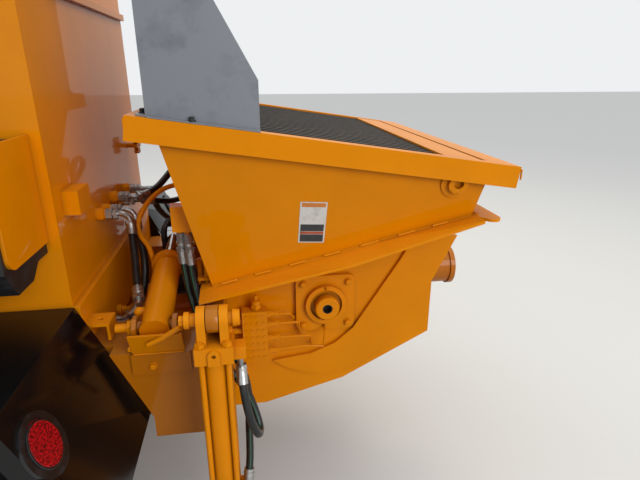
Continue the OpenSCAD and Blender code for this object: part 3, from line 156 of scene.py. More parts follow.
def patches(tree, shader, colour, other, size_mm, share=0.5, roughness=None):
    """Soft patches of a second colour, size_mm across, that a second roughness may follow."""
    place = add(tree, "ShaderNodeTexCoord")
    noise = add(tree, "ShaderNodeTexNoise", {"Vector": place.outputs["Object"], "Scale": 1000 / size_mm, "Detail": 7.0,
                                             "Roughness": 0.6})
    spread = add(tree, "ShaderNodeMapRange", {"Value": noise.outputs["Fac"], "From Min": 0.62 - 0.25 * share,
                                              "From Max": 0.82 - 0.25 * share, "To Max": 1.0})
    mixed = add(tree, "ShaderNodeMix", {"Factor": spread.outputs[0], "A": linear(colour), "B": linear(other)},
                data_type="RGBA")
    tree.links.new(mixed.outputs["Result"], shader.inputs["Base Color"])
    if roughness:
        rough = add(tree, "ShaderNodeMapRange", {"Value": spread.outputs[0], "To Min": roughness[0],
                                                 "To Max": roughness[1]})
        tree.links.new(rough.outputs[0], shader.inputs["Roughness"])
    return noise


def grain(tree, shader, size_mm, depth_mm, strength=0.3):
    """A fine raised grain, size_mm apart and depth_mm deep."""
    place = add(tree, "ShaderNodeTexCoord")
    noise = add(tree, "ShaderNodeTexNoise", {"Vector": place.outputs["Object"], "Scale": 1000 / size_mm, "Detail": 2.0})
    bump = add(tree, "ShaderNodeBump", {"Height": noise.outputs["Fac"], "Strength": strength,
                                        "Distance": depth_mm / 1000})
    tree.links.new(bump.outputs[0], shader.inputs["Normal"])


def enamel(name, colour, dusty, roughness, dust, **sockets):
    """Gloss enamel: even colour, dust on upward faces in patches 200 mm across, and painted shade, with some dirt,
    darkening its inner corners.
    """
    material, tree, shader = new_material(name, colour, roughness, **sockets)
    place = add(tree, "ShaderNodeTexCoord")
    facing_up = add(tree, "ShaderNodeNewGeometry")
    up = add(tree, "ShaderNodeSeparateXYZ", {0: facing_up.outputs["Normal"]})
    spots = add(tree, "ShaderNodeTexNoise", {"Vector": place.outputs["Object"], "Scale": 1000 / 200, "Detail": 8.0,
                                             "Roughness": 0.65})
    facing = add(tree, "ShaderNodeMapRange", {"Value": up.outputs["Z"], "From Min": 0.2, "From Max": 1.0})
    film = add(tree, "ShaderNodeMath", {0: facing.outputs[0], 1: spots.outputs["Fac"]}, operation="MULTIPLY")
    film = add(tree, "ShaderNodeMath", {0: film.outputs[0], 1: dust}, operation="MULTIPLY")
    colours = add(tree, "ShaderNodeMix", {"Factor": film.outputs[0], "A": linear(colour), "B": linear(dusty)},
                  data_type="RGBA")
    tone = add(tree, "ShaderNodeMapRange", {"Value": spots.outputs["Fac"], "From Min": 0.35, "From Max": 0.65,
                                            "To Min": 0.95, "To Max": 1.03})
    toned = add(tree, "ShaderNodeHueSaturation", {"Color": colours.outputs["Result"], "Value": tone.outputs[0]})
    # Painted shade: inner corners turn towards dark brown the more shut in they are, standing in for local shadow as
    # well as dirt.
    corner_shade = add(tree, "ShaderNodeAmbientOcclusion", {"Distance": 0.028}, samples=6)
    corner_shade = add(tree, "ShaderNodeMapRange", {"Value": corner_shade.outputs["AO"], "From Min": 0.25, "From Max": 0.75,
                                              "To Min": 0.58, "To Max": 0.0})
    toned = add(tree, "ShaderNodeMix", {"Factor": corner_shade.outputs[0], "A": toned.outputs[0], "B": linear("4A2E12")},
                data_type="RGBA")
    tree.links.new(toned.outputs["Result"], shader.inputs["Base Color"])
    rough = add(tree, "ShaderNodeMapRange", {"Value": film.outputs[0], "To Min": roughness, "To Max": 0.8})
    tree.links.new(rough.outputs[0], shader.inputs["Roughness"])
    return material


orange_enamel = enamel("orange_enamel", "E68A02", "D8A23C", 0.35, 0.25, Specular_IOR_Level=0.02, Coat_Weight=0.17,
                       Coat_Roughness=0.05)
# On the enclosure's smooth sheets the same enamel is polished, and mirrors what stands before it.
polished_enamel = enamel("polished_orange_enamel", "E68A02", "D8A23C", 0.3, 0.2, Specular_IOR_Level=0.02,
                         Coat_Weight=0.38, Coat_Roughness=0.03)
# A darker copy of the same enamel: painted shade for parts low on the machine and inside its corners, with its own dust
# film on upward faces.
shaded_enamel = enamel("shaded_orange_enamel", "B86A06", "B08A4C", 0.45, 0.4, Specular_IOR_Level=0.1, Coat_Weight=0.35,
                      Coat_Roughness=0.08)


def dress(names, material):
    """Gives CAD nodes a material on every slot."""
    for name in names:
        mesh = nodes[name].data
        mesh.materials.clear()
        mesh.materials.append(material)


def soften(names, width_mm):
    """Breaks the sharp edges of CAD nodes, as folds and ground edges are, so that they catch the light."""
    for name in names:
        merge = nodes[name].modifiers.new("merge", "WELD")
        merge.merge_threshold = 0.00002
        edges = nodes[name].modifiers.new("edges", "BEVEL")
        edges.width = width_mm / 1000
        edges.segments = 2
        edges.limit_method = "ANGLE"
        edges.angle_limit = math.radians(40)
        edges.harden_normals = True


painted = ["main_frame", "drawbar", "enclosure_body", "roof_cover", "tank_guards", "pumping_cylinders", "water_box",
           "drive_cylinders", "valve_box", "trough_cheeks", "hopper_funnel", "agitator_bearings", "grease_manifold",
           "rear_brackets", "leg_barrels", "delivery_outlet", "door_left", "door_right", "shift_barrel_left",
           "shift_barrel_right"]
dress(painted, orange_enamel)
# The rear brackets and the delivery outlet take the darker copy of the enamel, as painted shade.
dress(["rear_brackets", "delivery_outlet"], shaded_enamel)
dress(["enclosure_body", "roof_cover", "door_left", "door_right", "tank_guards"], polished_enamel)
soften(["enclosure_body", "roof_cover", "hopper_funnel", "main_frame", "drawbar", "rear_brackets", "door_left",
        "door_right", "valve_box"], 1.5)

# Frame, drawbar and axle. They are welded from channel and flat bar under the same enamel. The axle
# beam, leaf springs and jack are sprayed satin black, and the ring eye is a forging bolted to its plate.


def satin(name, colour, other, roughness, size_mm=60, **sockets):
    """A sprayed or dull coat with soft patches of a second tone and a fine grain."""
    material, tree, shader = new_material(name, colour, roughness, **sockets)
    patches(tree, shader, colour, other, size_mm, roughness=(roughness, min(1.0, roughness + 0.2)))
    grain(tree, shader, 2.0, 0.15)
    return material


black_satin = satin("black_satin_enamel", "121315", "2A2825", 0.42)
forged_steel = satin("forged_steel", "2E2B29", "4A3A2E", 0.6, Metallic=0.5)
dress(["axle_beam", "leaf_springs", "jack_tube", "front_grille"], black_satin)
dress(["drawbar_eye", "s_tube", "agitator"], forged_steel)

# Fasteners and fittings are turned or pressed steel with a zinc plating: pale, slightly blue, and dulled
# by handling.
zinc_plate, tree, shader = new_material("zinc_plate", "A9AAAA", 0.4, 1.0)
patches(tree, shader, "B0B1B0", "7E7B74", 12, roughness=(0.34, 0.58))


def add_bar(mesh, start, end, radius, end_radius=None, sides=24):
    """A closed round bar, or a cone, between two places in millimetres."""
    low, high = Vector(start) / 1000, Vector(end) / 1000
    turn = (high - low).to_track_quat("Z", "Y").to_matrix().to_4x4()
    bmesh.ops.create_cone(mesh, cap_ends=True, segments=sides, radius1=radius / 1000,
                          radius2=(radius if end_radius is None else end_radius) / 1000,
                          depth=(high - low).length, matrix=Matrix.Translation((low + high) / 2) @ turn)


def add_block(mesh, low, high, turn=None):
    """A box between two corners in millimetres, turned about its middle where turn is given."""
    low, high = Vector(low) / 1000, Vector(high) / 1000
    size = high - low
    bmesh.ops.create_cube(mesh, size=1, matrix=Matrix.Translation((low + high) / 2) @ (turn or Matrix.Identity(4))
                          @ Matrix.Diagonal((size.x, size.y, size.z, 1)))


def add_bolt(mesh, at, along, across):
    """A hexagon head on its washer. at is where the washer sits, in millimetres; across is the head's width."""
    at, along = Vector(at), Vector(along).normalized()
    add_bar(mesh, at - along, at + along * 2, across * 0.72, sides=20)
    add_bar(mesh, at + along * 2, at + along * (2 + 0.55 * across), across * 0.56, sides=6)
    add_bar(mesh, at + along * (2 + 0.55 * across), at + along * (2.6 + 0.6 * across), across * 0.5, across * 0.4, 12)


def place(name, mesh, materials, body="chassis", slot=None, crisp=35):
    """Makes a piece of a finished mesh and lets it ride on a body. Edges over crisp degrees stay sharp."""
    data = bpy.data.meshes.new(name)
    mesh.to_mesh(data)
    mesh.free()
    for material in materials if isinstance(materials, list) else [materials]:
        data.materials.append(material)
    data.shade_smooth()
    data.set_sharp_from_angle(angle=math.radians(crisp))
    made = bpy.data.objects.new(name, data)
    bpy.context.scene.collection.objects.link(made)
    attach(made, body)
    return made


sides = (1, -1)
bolts = bmesh.new()
socket_face_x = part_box("drawbar_eye")[0][0] * 1000
for y in (-44, 44):
    for z in (-42, 42):
        add_bolt(bolts, (socket_face_x + 24, y, (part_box("drawbar_eye")[0][2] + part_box("drawbar_eye")[1][2]) * 500 + z),
                 (1, 0, 0), 24)
place("coupling_bolts", bolts, zinc_plate, slot="bare_steel")

# U-bolts of round bar over the axle clamp each leaf spring to its pad, with a nut on every leg. They are
# sprayed black with the springs.
axle_x, axle_z, spring_y = -778, 387.5, 445
u_along, u_half = 42, 36
u_bolts = bmesh.new()
pad_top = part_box("leaf_springs")[0][2] * 1000 + 46
for side in sides:
    for x in (axle_x - u_along, axle_x + u_along):
        for y in (spring_y - u_half, spring_y + u_half):
            add_bar(u_bolts, (x, side * y, axle_z - 34), (x, side * y, pad_top + 26), 7)
            add_bar(u_bolts, (x, side * y, pad_top + 6), (x, side * y, pad_top + 18), 13, sides=6)
        add_bar(u_bolts, (x, side * (spring_y - u_half), axle_z - 38),
                (x, side * (spring_y + u_half), axle_z - 38), 7)
    add_block(u_bolts, (axle_x - 56, side * spring_y - 48, pad_top), (axle_x + 56, side * spring_y + 48, pad_top + 7))
place("spring_u_bolts", u_bolts, black_satin, slot="black_paint")

# Wheels. A pressed steel disc in white enamel is held by eight cone nuts; a grease cap closes the hub.
# The radial tyre is vulcanised rubber, dull and a little dusty, with four ribs of cut blocks.
white_enamel = enamel("white_wheel_enamel", "DADAD6", "A89A84", 0.35, 0.5, Coat_Weight=0.3)
dress(["rim_left", "rim_right"], white_enamel)
tyre_rubber = satin("tyre_rubber", "17181A", "3A3733", 0.75, 90, Specular_IOR_Level=0.3)
wheel_y, tyre_r, tyre_half = 790, 387.5, 117.5
rim_r = (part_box("rim_left")[1][2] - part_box("rim_left")[0][2]) * 500 - 14
tread_half, groove_depth, pitches = 78, 7, 64


def tyre_profile(cut):
    """The tyre's outline from inner bead to outer bead as (radius, place across); cut lowers the blocks' gaps."""
    wall = []
    for k in range(9):
        t = k / 8
        bulge = math.sin(math.pi * min(1.0, t * 1.15)) ** 0.8 * 9
        across = tyre_half - 20 + 11 * math.sin(math.pi * t) + bulge * 0.95 - 9 * t * t
        wall.append((rim_r + 15 + (tyre_r - rim_r - 27) * t, min(across, tyre_half - 0.5)))
    shoulder = [(tyre_r - 6, tread_half + 12), (tyre_r - 1.5 - cut, tread_half + 2)]
    groove_r = tyre_r - groove_depth
    ribs = []
    for low, high in ((46, 76), (6, 40)):
        ribs += [(tyre_r - cut, high), (tyre_r - cut, low), (groove_r, low - 1), (groove_r, low - 5)]
    half = wall + shoulder + ribs
    return half + [(r, -y) for r, y in reversed(half)]


for side, name in zip(sides, ("left", "right")):
    tyre = bmesh.new()
    rings = []
    for pitch in range(pitches):
        for share, cut in ((0.0, 0), (0.74, 0), (0.77, 5), (0.97, 5)):
            angle = (pitch + share) * math.tau / pitches
            rings.append([tyre.verts.new(((axle_x + r * math.cos(angle)) / 1000, (side * wheel_y + y) / 1000,
                                          (axle_z + r * math.sin(angle)) / 1000)) for r, y in tyre_profile(cut)])
    for here, there in zip(rings, rings[1:] + rings[:1]):
        for k in range(len(here) - 1):
            tyre.faces.new((here[k], here[k + 1], there[k + 1], there[k]))
        tyre.faces.new((here[-1], here[0], there[0], there[-1]))
    bmesh.ops.recalc_face_normals(tyre, faces=tyre.faces)
    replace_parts(place(f"road_tyre_{name}", tyre, tyre_rubber, f"wheel_{name}", "tyre", crisp=28), f"tyre_{name}")
    nuts = bmesh.new()
    for k in range(8):
        x, z = axle_x + 82.5 * math.cos(k * math.tau / 8), axle_z + 82.5 * math.sin(k * math.tau / 8)
        add_bar(nuts, (x, side * (wheel_y + 8), z), (x, side * (wheel_y + 27), z), 14, 12, 6)
        add_bar(nuts, (x, side * (wheel_y + 27), z), (x, side * (wheel_y + 33), z), 7, 6)
    add_bar(nuts, (axle_x, side * (wheel_y + 49), axle_z), (axle_x, side * (wheel_y + 62), axle_z), 44, 40, 32)
    add_bar(nuts, (axle_x, side * (wheel_y + 62), axle_z), (axle_x, side * (wheel_y + 68), axle_z), 40, 24, 32)
    place(f"wheel_nuts_{name}", nuts, zinc_plate, f"wheel_{name}", "bare_steel")
    valve = bmesh.new()
    add_bar(valve, (axle_x + rim_r - 42, side * (wheel_y + 14), axle_z),
            (axle_x + rim_r - 54, side * (wheel_y + 48), axle_z), 4.5)
    place(f"valve_stem_{name}", valve, tyre_rubber, f"wheel_{name}", "tyre")

# Fenders. They are folded from 4 mm sheet and sprayed gloss black, and mirror the ground and the sky.
# Each carries a round stop lamp: a clear red moulded lens of small domes in a soft rubber ring.
black_gloss = enamel("black_gloss_enamel", "0B0B0C", "2E2C28", 0.16, 0.1, Specular_IOR_Level=0.3)
dress(["fender_left", "fender_right"], black_gloss)
soften(["fender_left", "fender_right"], 3.5)
lamp_rubber = satin("lamp_rubber", "0E0F11", "1A1B1E", 0.32, 30)
dress(["lamp_rings"], lamp_rubber)
red_lens, tree, shader = new_material("red_lens", "A80816", 0.3, Specular_IOR_Level=0.35)
patches(tree, shader, "C00A1A", "54040A", 4.5, share=0.9)
grain(tree, shader, 4.0, 0.8, 0.6)
dress(["lamp_lenses"], red_lens)
slope_rise, slope_run = 339, 157
lens_low, lens_high = (Vector(v) * 1000 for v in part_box("lamp_lenses"))
slope_out = Vector((-slope_rise, 0, slope_run)).normalized()
slope_up = Vector((slope_run, 0, slope_rise)).normalized()
lens_r = 50
lamp_y = lens_high.y - lens_r


def add_ring(mesh, middle, axis, profile, sides=40):
    """A turned ring: a closed profile of (radius, height along the axis), in millimetres, round a middle."""
    axis = Vector(axis).normalized()
    across = axis.orthogonal().normalized()
    other = axis.cross(across)
    rings = []
    for a in (k * math.tau / sides for k in range(sides)):
        outward = math.cos(a) * across + math.sin(a) * other
        rings.append([mesh.verts.new((Vector(middle) + axis * height + radius * outward) / 1000)
                      for radius, height in profile])
    made = []
    for here, there in zip(rings, rings[1:] + rings[:1]):
        for k in range(len(profile)):
            j = (k + 1) % len(profile)
            made.append(mesh.faces.new((here[k], here[j], there[j], there[k])))
    bmesh.ops.recalc_face_normals(mesh, faces=made)


for side, name in zip(sides, ("left", "right")):
    middle = Vector(((lens_low.x + lens_high.x) / 2, side * lamp_y, (lens_low.z + lens_high.z) / 2))
    domes = bmesh.new()
    pitch = 8
    for row in range(-6, 7):
        for column in range(-6, 7):
            a, b = (column + 0.5 * (row % 2)) * pitch, row * pitch * 0.866
            if math.hypot(a, b) > lens_r - 11:
                continue
            at = middle + slope_out * 11 + Vector((0, a, 0)) + slope_up * b
            add_bar(domes, at - slope_out * 2, at + slope_out * 1.2, pitch * 0.54, pitch * 0.2, 6)
    place(f"lens_domes_{name}", domes, red_lens, slot="lamp_lens", crisp=10)
    lip = bmesh.new()
    add_ring(lip, middle, slope_out, ((lens_r + 0.4, 6.5), (lens_r + 0.4, 11.2), (lens_r - 1, 12), (lens_r - 5, 12),
                                      (lens_r - 6.2, 11)), 48)
    place(f"lamp_lip_{name}", lip, lamp_rubber, slot="lamp_rubber", crisp=50)

# Enclosure trim. The doors have pressed paddle latches in black, screws hold the grille's frame, and a
# finned radiator core stands behind it. The exhaust pipe ends in a loose rain flap.
steel_dull = satin("plated_steel", "8E8D8A", "6E6456", 0.42, 25, Metallic=0.9)
dress(["exhaust_stack", "jack_leg", "bulkhead_fittings"], steel_dull)
black_plastic = satin("black_nylon", "18181A", "2B2B2D", 0.5, 20)
for side, name in zip(sides, ("left", "right")):
    low, high = (Vector(v) * 1000 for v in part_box(f"door_{name}"))
    face = side * 482
    latch = bmesh.new()
    at = (low.x + 118, (low.z + high.z) / 2 + 2)
    for back, front, half_high, inner, outer in ((-50, 50, 24, 12, 16), (-40, 20, 14, 15, 22)):
        near, far = sorted((face + side * inner, face + side * outer))
        add_block(latch, (at[0] + back, near, at[1] - half_high), (at[0] + front, far, at[1] + half_high))
    add_bar(latch, (at[0] + 35, face + side * 12, at[1]), (at[0] + 35, face + side * 20, at[1]), 8)
    place(f"door_latch_{name}", latch, black_plastic, f"door_{name}", "moulded_black")
screws = bmesh.new()
grille_low, grille_high = (Vector(v) * 1000 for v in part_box("front_grille"))
for y in (-318, -106, 106, 318):
    for z in (grille_low.z + 12, grille_high.z - 12):
        add_bar(screws, (grille_high.x, y, z), (grille_high.x + 3, y, z), 8, 6, 16)
for z in (0.33, 0.67):
    for y in (-318, 318):
        height = grille_low.z + (grille_high.z - grille_low.z) * z
        add_bar(screws, (grille_high.x, y, height), (grille_high.x + 3, y, height), 8, 6, 16)
place("grille_screws", screws, zinc_plate, slot="bare_steel")
core = bmesh.new()
add_block(core, (grille_low.x - 70, -326, grille_low.z + 16), (grille_low.x - 40, 326, grille_high.z - 16))
for k in range(60):
    y = -298 + k * 10
    add_block(core, (grille_low.x - 41, y, grille_low.z + 18), (grille_low.x - 32, y + 2.5, grille_high.z - 18))
for y in (-318, 318):
    for z in (grille_low.z + 60, grille_high.z - 60):
        add_bar(core, (grille_low.x - 42, y, z), (grille_low.x, y, z), 8, sides=16)
place("radiator_core", core, black_satin, slot="black_paint")
flap = bmesh.new()
stack_low, stack_high = (Vector(v) * 1000 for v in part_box("exhaust_stack"))
stack_x, stack_y = (stack_low.x + stack_high.x) / 2, (stack_low.y + stack_high.y) / 2
add_bar(flap, (stack_x - 3, stack_y, stack_high.z + 2), (stack_x + 1, stack_y, stack_high.z + 6), 40, sides=32)
add_bar(flap, (stack_x + 40, stack_y - 14, stack_high.z + 2), (stack_x + 40, stack_y + 14, stack_high.z + 2), 4)
place("rain_flap", flap, steel_dull, slot="bare_steel")
dress(["engine_block", "agitator_motor"], satin("engine_iron", "1F2022", "33302C", 0.5, 50, Metallic=0.2))

# Fuel tank. It is blow-moulded black polyethylene with a matt, faintly grained skin, held down by two
# steel straps in its grooves, and filled through a ribbed screw cap.
moulded_black = satin("black_polyethylene", "151617", "262626", 0.5, 40)
dress(["fuel_tank"], moulded_black)
tank_low, tank_high = (Vector(v) * 1000 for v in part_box("fuel_tank"))
tank_top = tank_high.z - 26
cap = bmesh.new()
cap_at = (tank_low.x + 280, 590)
add_bar(cap, (*cap_at, tank_top + 24), (*cap_at, tank_top + 30), 43, 40, 40)
for k in range(20):
    angle = k * math.tau / 20
    x, y = cap_at[0] + 42 * math.cos(angle), cap_at[1] + 42 * math.sin(angle)
    add_bar(cap, (x, y, tank_top + 6), (x, y, tank_top + 26), 3, sides=8)
place("tank_cap_ribs", cap, black_plastic, slot="moulded_black")
straps = bmesh.new()
for x in (tank_low.x + 124, tank_high.x - 156):
    add_block(straps, (x, tank_high.y - 8, tank_low.z + 60), (x + 32, tank_high.y - 4, tank_top - 38))
    add_bolt(straps, (x + 16, tank_high.y - 4, tank_low.z + 90), (0, 1, 0), 13)
place("tank_straps", straps, black_satin, slot="black_paint")

# Rear face fittings. Steel bulkhead unions come through the enclosure's rear sheet, painted over where
# they sit on it. The star knob and the small boxes beside them are under the same enamel.
dress(["bulkhead_fittings"], orange_enamel)
rear_x = -1208
union_places = ((172, 1027), (108, 1024), (0, 1039), (-60, 1010), (-172, 1027))
unions = bmesh.new()
for y, z in union_places:
    add_bar(unions, (rear_x - 14, y, z), (rear_x - 22, y, z), 21, sides=6)
    add_bar(unions, (rear_x - 22, y, z), (rear_x - 28, y, z), 17, sides=6)
place("painted_union_nuts", unions, orange_enamel, slot="paint")
swivels = bmesh.new()
for y, z in union_places:
    add_bar(swivels, (rear_x - 29, y, z), (rear_x - 47, y, z), 18, sides=6)
    add_bar(swivels, (rear_x - 27, y, z), (rear_x - 31, y, z), 15.5, sides=24)
place("swivel_nuts", swivels, zinc_plate, slot="bare_steel")
roof_screws = bmesh.new()
for side in sides:
    for k in range(9):
        add_bar(roof_screws, (-1130 + k * 275, side * 479.5, 1644), (-1130 + k * 275, side * 483, 1644), 8, 6, 16)
place("roof_screws", roof_screws, orange_enamel, slot="paint")

# Hopper. It is welded from 8 mm plate: a rim of folded channel, four sloped panels and a skirt strip
# tacked under each side with short stitch welds. A pale sheet guard stands on the front of its rim.
sheet_steel, tree, shader = new_material("dull_zinc_sheet", "7E828A", 0.45, 0.25, Specular_IOR_Level=0.3)
patches(tree, shader, "83868C", "72757C", 70, roughness=(0.38, 0.52))
dress(["splash_guard"], sheet_steel)
soften(["splash_guard"], 0.8)
grate_steel = satin("worn_bar_steel", "3B3733", "5C5148", 0.5, 35, Metallic=0.6)
dress(["grate"], grate_steel)


def smooth_path(points, steps):
    """A curve through places, as a list with steps places between each pair."""
    points = [Vector(p) for p in points]
    path = []
    for i in range(len(points) - 1):
        a, b, c, d = points[max(i - 1, 0)], points[i], points[i + 1], points[min(i + 2, len(points) - 1)]
        for k in range(steps):
            t = k / steps
            path.append(0.5 * (2 * b + (c - a) * t + (2 * a - 5 * b + 4 * c - d) * t ** 2
                               + (3 * b - a - 3 * c + d) * t ** 3))
    return path + [points[-1]]


def add_tube(mesh, path, radius, sides=16, stripe=None):
    """A closed round tube along places in millimetres. radius may vary with the index; stripe is the material of
    one strip of faces along it."""
    path = [Vector(p) for p in path]
    across = Vector((0, 0, 1)) if abs((path[1] - path[0]).normalized().z) < 0.9 else Vector((0, 1, 0))
    rings = []
    for i, here in enumerate(path):
        along = (path[min(i + 1, len(path) - 1)] - path[max(i - 1, 0)]).normalized()
        across = (across - along * across.dot(along)).normalized()
        other = along.cross(across)
        size = radius(i) if callable(radius) else radius
        rings.append([mesh.verts.new((here + size * (math.cos(a) * across + math.sin(a) * other)) / 1000)
                      for a in (k * math.tau / sides for k in range(sides))])
    for here, there in zip(rings, rings[1:]):
        for k in range(sides):
            face = mesh.faces.new((here[k], here[(k + 1) % sides], there[(k + 1) % sides], there[k]))
            if stripe is not None and k == 0:
                face.material_index = stripe
    mesh.faces.new(list(reversed(rings[0])))
    mesh.faces.new(rings[-1])


def add_weld(mesh, start, end, width):
    """A weld run: a low rope of overlapping beads between two places in millimetres."""
    start, end = Vector(start), Vector(end)
    count = max(6, int((end - start).length / 2.5))
    add_tube(mesh, [start.lerp(end, i / count) for i in range(count + 1)],
             lambda i: width * (0.5 if i in (0, count) else 0.92 + 0.16 * (i % 2)), 8)


box_half, funnel_low, low_front_x, low_rear_x, rim_half = 330, 440, -1565, -2272, 563
slope = math.tan(math.radians(15.4))


def flange_z(x):
    """Height of the valve box's top flange at a place along X."""
    return 872 + (-1560 - x) * slope


def foot_y(x):
    """Half width of the funnel's foot at a place along X."""
    return funnel_low + (rim_half - 55 - funnel_low) * (low_front_x - x) / (low_front_x - low_rear_x)


welds = bmesh.new()
for side in sides:
    for middle, length in ((-1611, 46), (-1706, 48), (-1800, 46), (-1895, 48), (-1997, 52), (-2098, 50), (-2188, 44)):
        ends = [(x, side * (foot_y(x) + 3), flange_z(x) + 9) for x in (middle + length / 2, middle - length / 2)]
        add_weld(welds, *ends, 4.5)
    caulk = [(x, side * (foot_y(x) + 1), flange_z(x) + 8) for x in (-1566, -2270)]
    add_weld(welds, *caulk, 2.2)
    for x, z in ((-1413, 1357), (-2371, 1216)):
        add_weld(welds, (x, side * 560, z - 6), (x, side * 560, z - 34), 2.5)
for y in (-250, -83, 83, 250):
    add_weld(welds, (-1567, y - 25, 884), (-1567, y + 25, 884), 4)
place("funnel_welds", welds, orange_enamel, slot="paint")

guard_bolts = bmesh.new()
rim_front_x, rim_front_z, rim_tilt = -1416, 1357, math.radians(8.4)
rim_slope = math.tan(rim_tilt)
for side in sides:
    for x, y in ((-1559, 553), (-1446, 505), (-1446, 180)):
        add_bolt(guard_bolts, (x, side * y, rim_front_z - (rim_front_x - x) * rim_slope + 4.5), (0, 0, 1), 13)
place("guard_bolts", guard_bolts, black_satin, slot="bare_steel")
hinge_caps = bmesh.new()
for side in sides:
    x, z = rim_front_x - 88 * math.cos(rim_tilt), rim_front_z - 88 * rim_slope - 13
    add_bar(hinge_caps, (x, side * 512, z), (x, side * 518, z), 12, sides=6)
place("grate_hinge_nuts", hinge_caps, zinc_plate, slot="bare_steel")
end_plate = bmesh.new()
rim_turn = Matrix.Rotation(-rim_tilt, 4, "Y")
plate_middle = Vector((rim_front_x, 0, rim_front_z)) + rim_turn @ Vector((-822.3, 0, -3.5))
add_block(end_plate, plate_middle - Vector((52, 513, 2.5)), plate_middle + Vector((52, 513, 2.5)), rim_turn)
place("grate_end_plate", end_plate, orange_enamel, "grate", "paint")

# The bare label plate on the hopper's side. It is gloss vinyl on the enamel, with a white edge and plain
# bands of orange, black and red, and no words or signs.
white_vinyl, tree, shader = new_material("white_vinyl", "D8D6D0", 0.3, Coat_Weight=0.4)
patches(tree, shader, "D8D6D0", "C2BFB6", 18)
black_vinyl, tree, shader = new_material("black_vinyl", "1B1A1A", 0.3, Coat_Weight=0.4)
patches(tree, shader, "1B1A1A", "2C2A28", 18)
red_vinyl, tree, shader = new_material("red_vinyl", "B4471C", 0.3, Coat_Weight=0.4)
patches(tree, shader, "B4471C", "9C3C18", 18)
orange_vinyl, tree, shader = new_material("orange_vinyl", "D27A20", 0.3, Coat_Weight=0.4)
patches(tree, shader, "D27A20", "BE6C1A", 18)
label = bmesh.new()
seam = [Vector(v) for v in ((-1565, 440, 877.4), (-1468, 554, 1343), (-2296, 554, 1221))]
panel_out = (seam[1] - seam[0]).cross(seam[2] - seam[0]).normalized()
panel_out = panel_out if panel_out.y > 0 else -panel_out
panel_along = Vector((-0.988, 0.03, -0.05)).normalized()
panel_along = (panel_along - panel_out * panel_along.dot(panel_out)).normalized()
panel_up = panel_out.cross(panel_along)
panel_up = panel_up if panel_up.z > 0 else -panel_up
label_x, label_z = -1838, 1073
label_y = seam[0].y - ((label_x - seam[0].x) * panel_out.x + (label_z - seam[0].z) * panel_out.z) / panel_out.y
label_middle = Vector((label_x, label_y, label_z))


def add_band(mesh, along, up, lift, material_index):
    """A flat band of the label between two pairs of distances from its middle, in millimetres."""
    corners = [(along[0], up[0]), (along[1], up[0]), (along[1], up[1]), (along[0], up[1])]
    points = [label_middle + panel_along * a + panel_up * b + panel_out * lift for a, b in corners]
    face = mesh.faces.new([mesh.verts.new(p / 1000) for p in points])
    face.normal_update()
    if face.normal.dot(panel_out) < 0:
        face.normal_flip()
    face.material_index = material_index


add_band(label, (-35, 35), (-62, 62), 0.8, 0)
add_band(label, (-31, 31), (47, 59), 1.0, 3)
add_band(label, (-31, 31), (-26, -5), 1.0, 1)
add_band(label, (-31, 31), (-35, -27), 1.0, 2)
add_band(label, (-31, 31), (-59, -36), 1.0, 1)
place("label_plate", label, [white_vinyl, black_vinyl, red_vinyl, orange_vinyl], slot="paint")

# Valve box. Its rear plate and the delivery pipe's flange are bolted on. Each bearing is a flanged
# housing on four bolts round the agitator's shaft, with a steel seal ring in its recess.
shaft_x, shaft_z = -1898, 758
box_bolts = bmesh.new()
outlet_z = (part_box("delivery_outlet")[0][2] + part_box("delivery_outlet")[1][2]) * 500
outlet_flange_x, outlet_bolts_r = -2278, 106
for k in range(8):
    angle = (k + 0.5) * math.tau / 8
    add_bolt(box_bolts, (outlet_flange_x, outlet_bolts_r * math.cos(angle),
                         outlet_z + outlet_bolts_r * math.sin(angle)), (-1, 0, 0), 16)
for side in sides:
    for dx in (-70.7, 70.7):
        for dz in (-70.7, 70.7):
            add_bolt(box_bolts, (shaft_x + dx, side * 346.5, shaft_z + dz), (0, side, 0), 17)
place("box_bolts", box_bolts, orange_enamel, slot="paint")
seals = bmesh.new()
for side in sides:
    add_bar(seals, (shaft_x, side * 349, shaft_z), (shaft_x, side * 353, shaft_z), 49, sides=40)
    if side > 0:
        add_bar(seals, (shaft_x, side * 366, shaft_z + 56), (shaft_x, side * 372, shaft_z + 66), 4, 3, 12)
place("bearing_seals", seals, orange_enamel, slot="paint")
collar = bmesh.new()
shaft_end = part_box("agitator")[1][1] * 1000
add_ring(collar, (shaft_x, shaft_end, shaft_z), (0, 1, 0), ((37.5, -44), (37.5, -3), (34.5, 0.8), (16, 0.8), (13.5, -2),
                                                         (13.5, -20), (36, -44)), 48)
place("painted_collar", collar, orange_enamel, "agitator", "paint")
motor_bolts = bmesh.new()
for dx in (-62, 62):
    for dz in (-62, 62):
        add_bolt(motor_bolts, (shaft_x + dx, -box_half - 62, shaft_z + dz), (0, -1, 0), 16)
place("motor_bolts", motor_bolts, zinc_plate, slot="bare_steel")

# Grease distributor. It is a drilled steel block with rows of plugs on its face, and a compression nut
# where each thin pipe leaves it.
block_low = Vector((shaft_x + 185, 354, shaft_z - 166))
block_high = block_low + Vector((75, 38, 174))
plugs = bmesh.new()
for row in range(7):
    for column in range(4):
        at = (block_low.x + 11 + column * 17.5, block_high.y, block_low.z + 17 + row * 23.5)
        add_bar(plugs, (at[0], at[1] - 1, at[2]), (at[0], at[1] + 2.2, at[2]), 5.4, sides=12)
        add_bar(plugs, (at[0], at[1] + 2.2, at[2]), (at[0], at[1] + 2.3, at[2]), 2.6, sides=6)
for dz in (160, 126, 78, 32):
    at = (block_low.x, 382, block_low.z + dz)
    add_bar(plugs, (at[0] - 12, at[1], at[2]), (at[0] + 1, at[1], at[2]), 10, sides=6)
    add_bar(plugs, (at[0] - 36, at[1], at[2]), (at[0] - 24, at[1], at[2]), 9.5, sides=6)
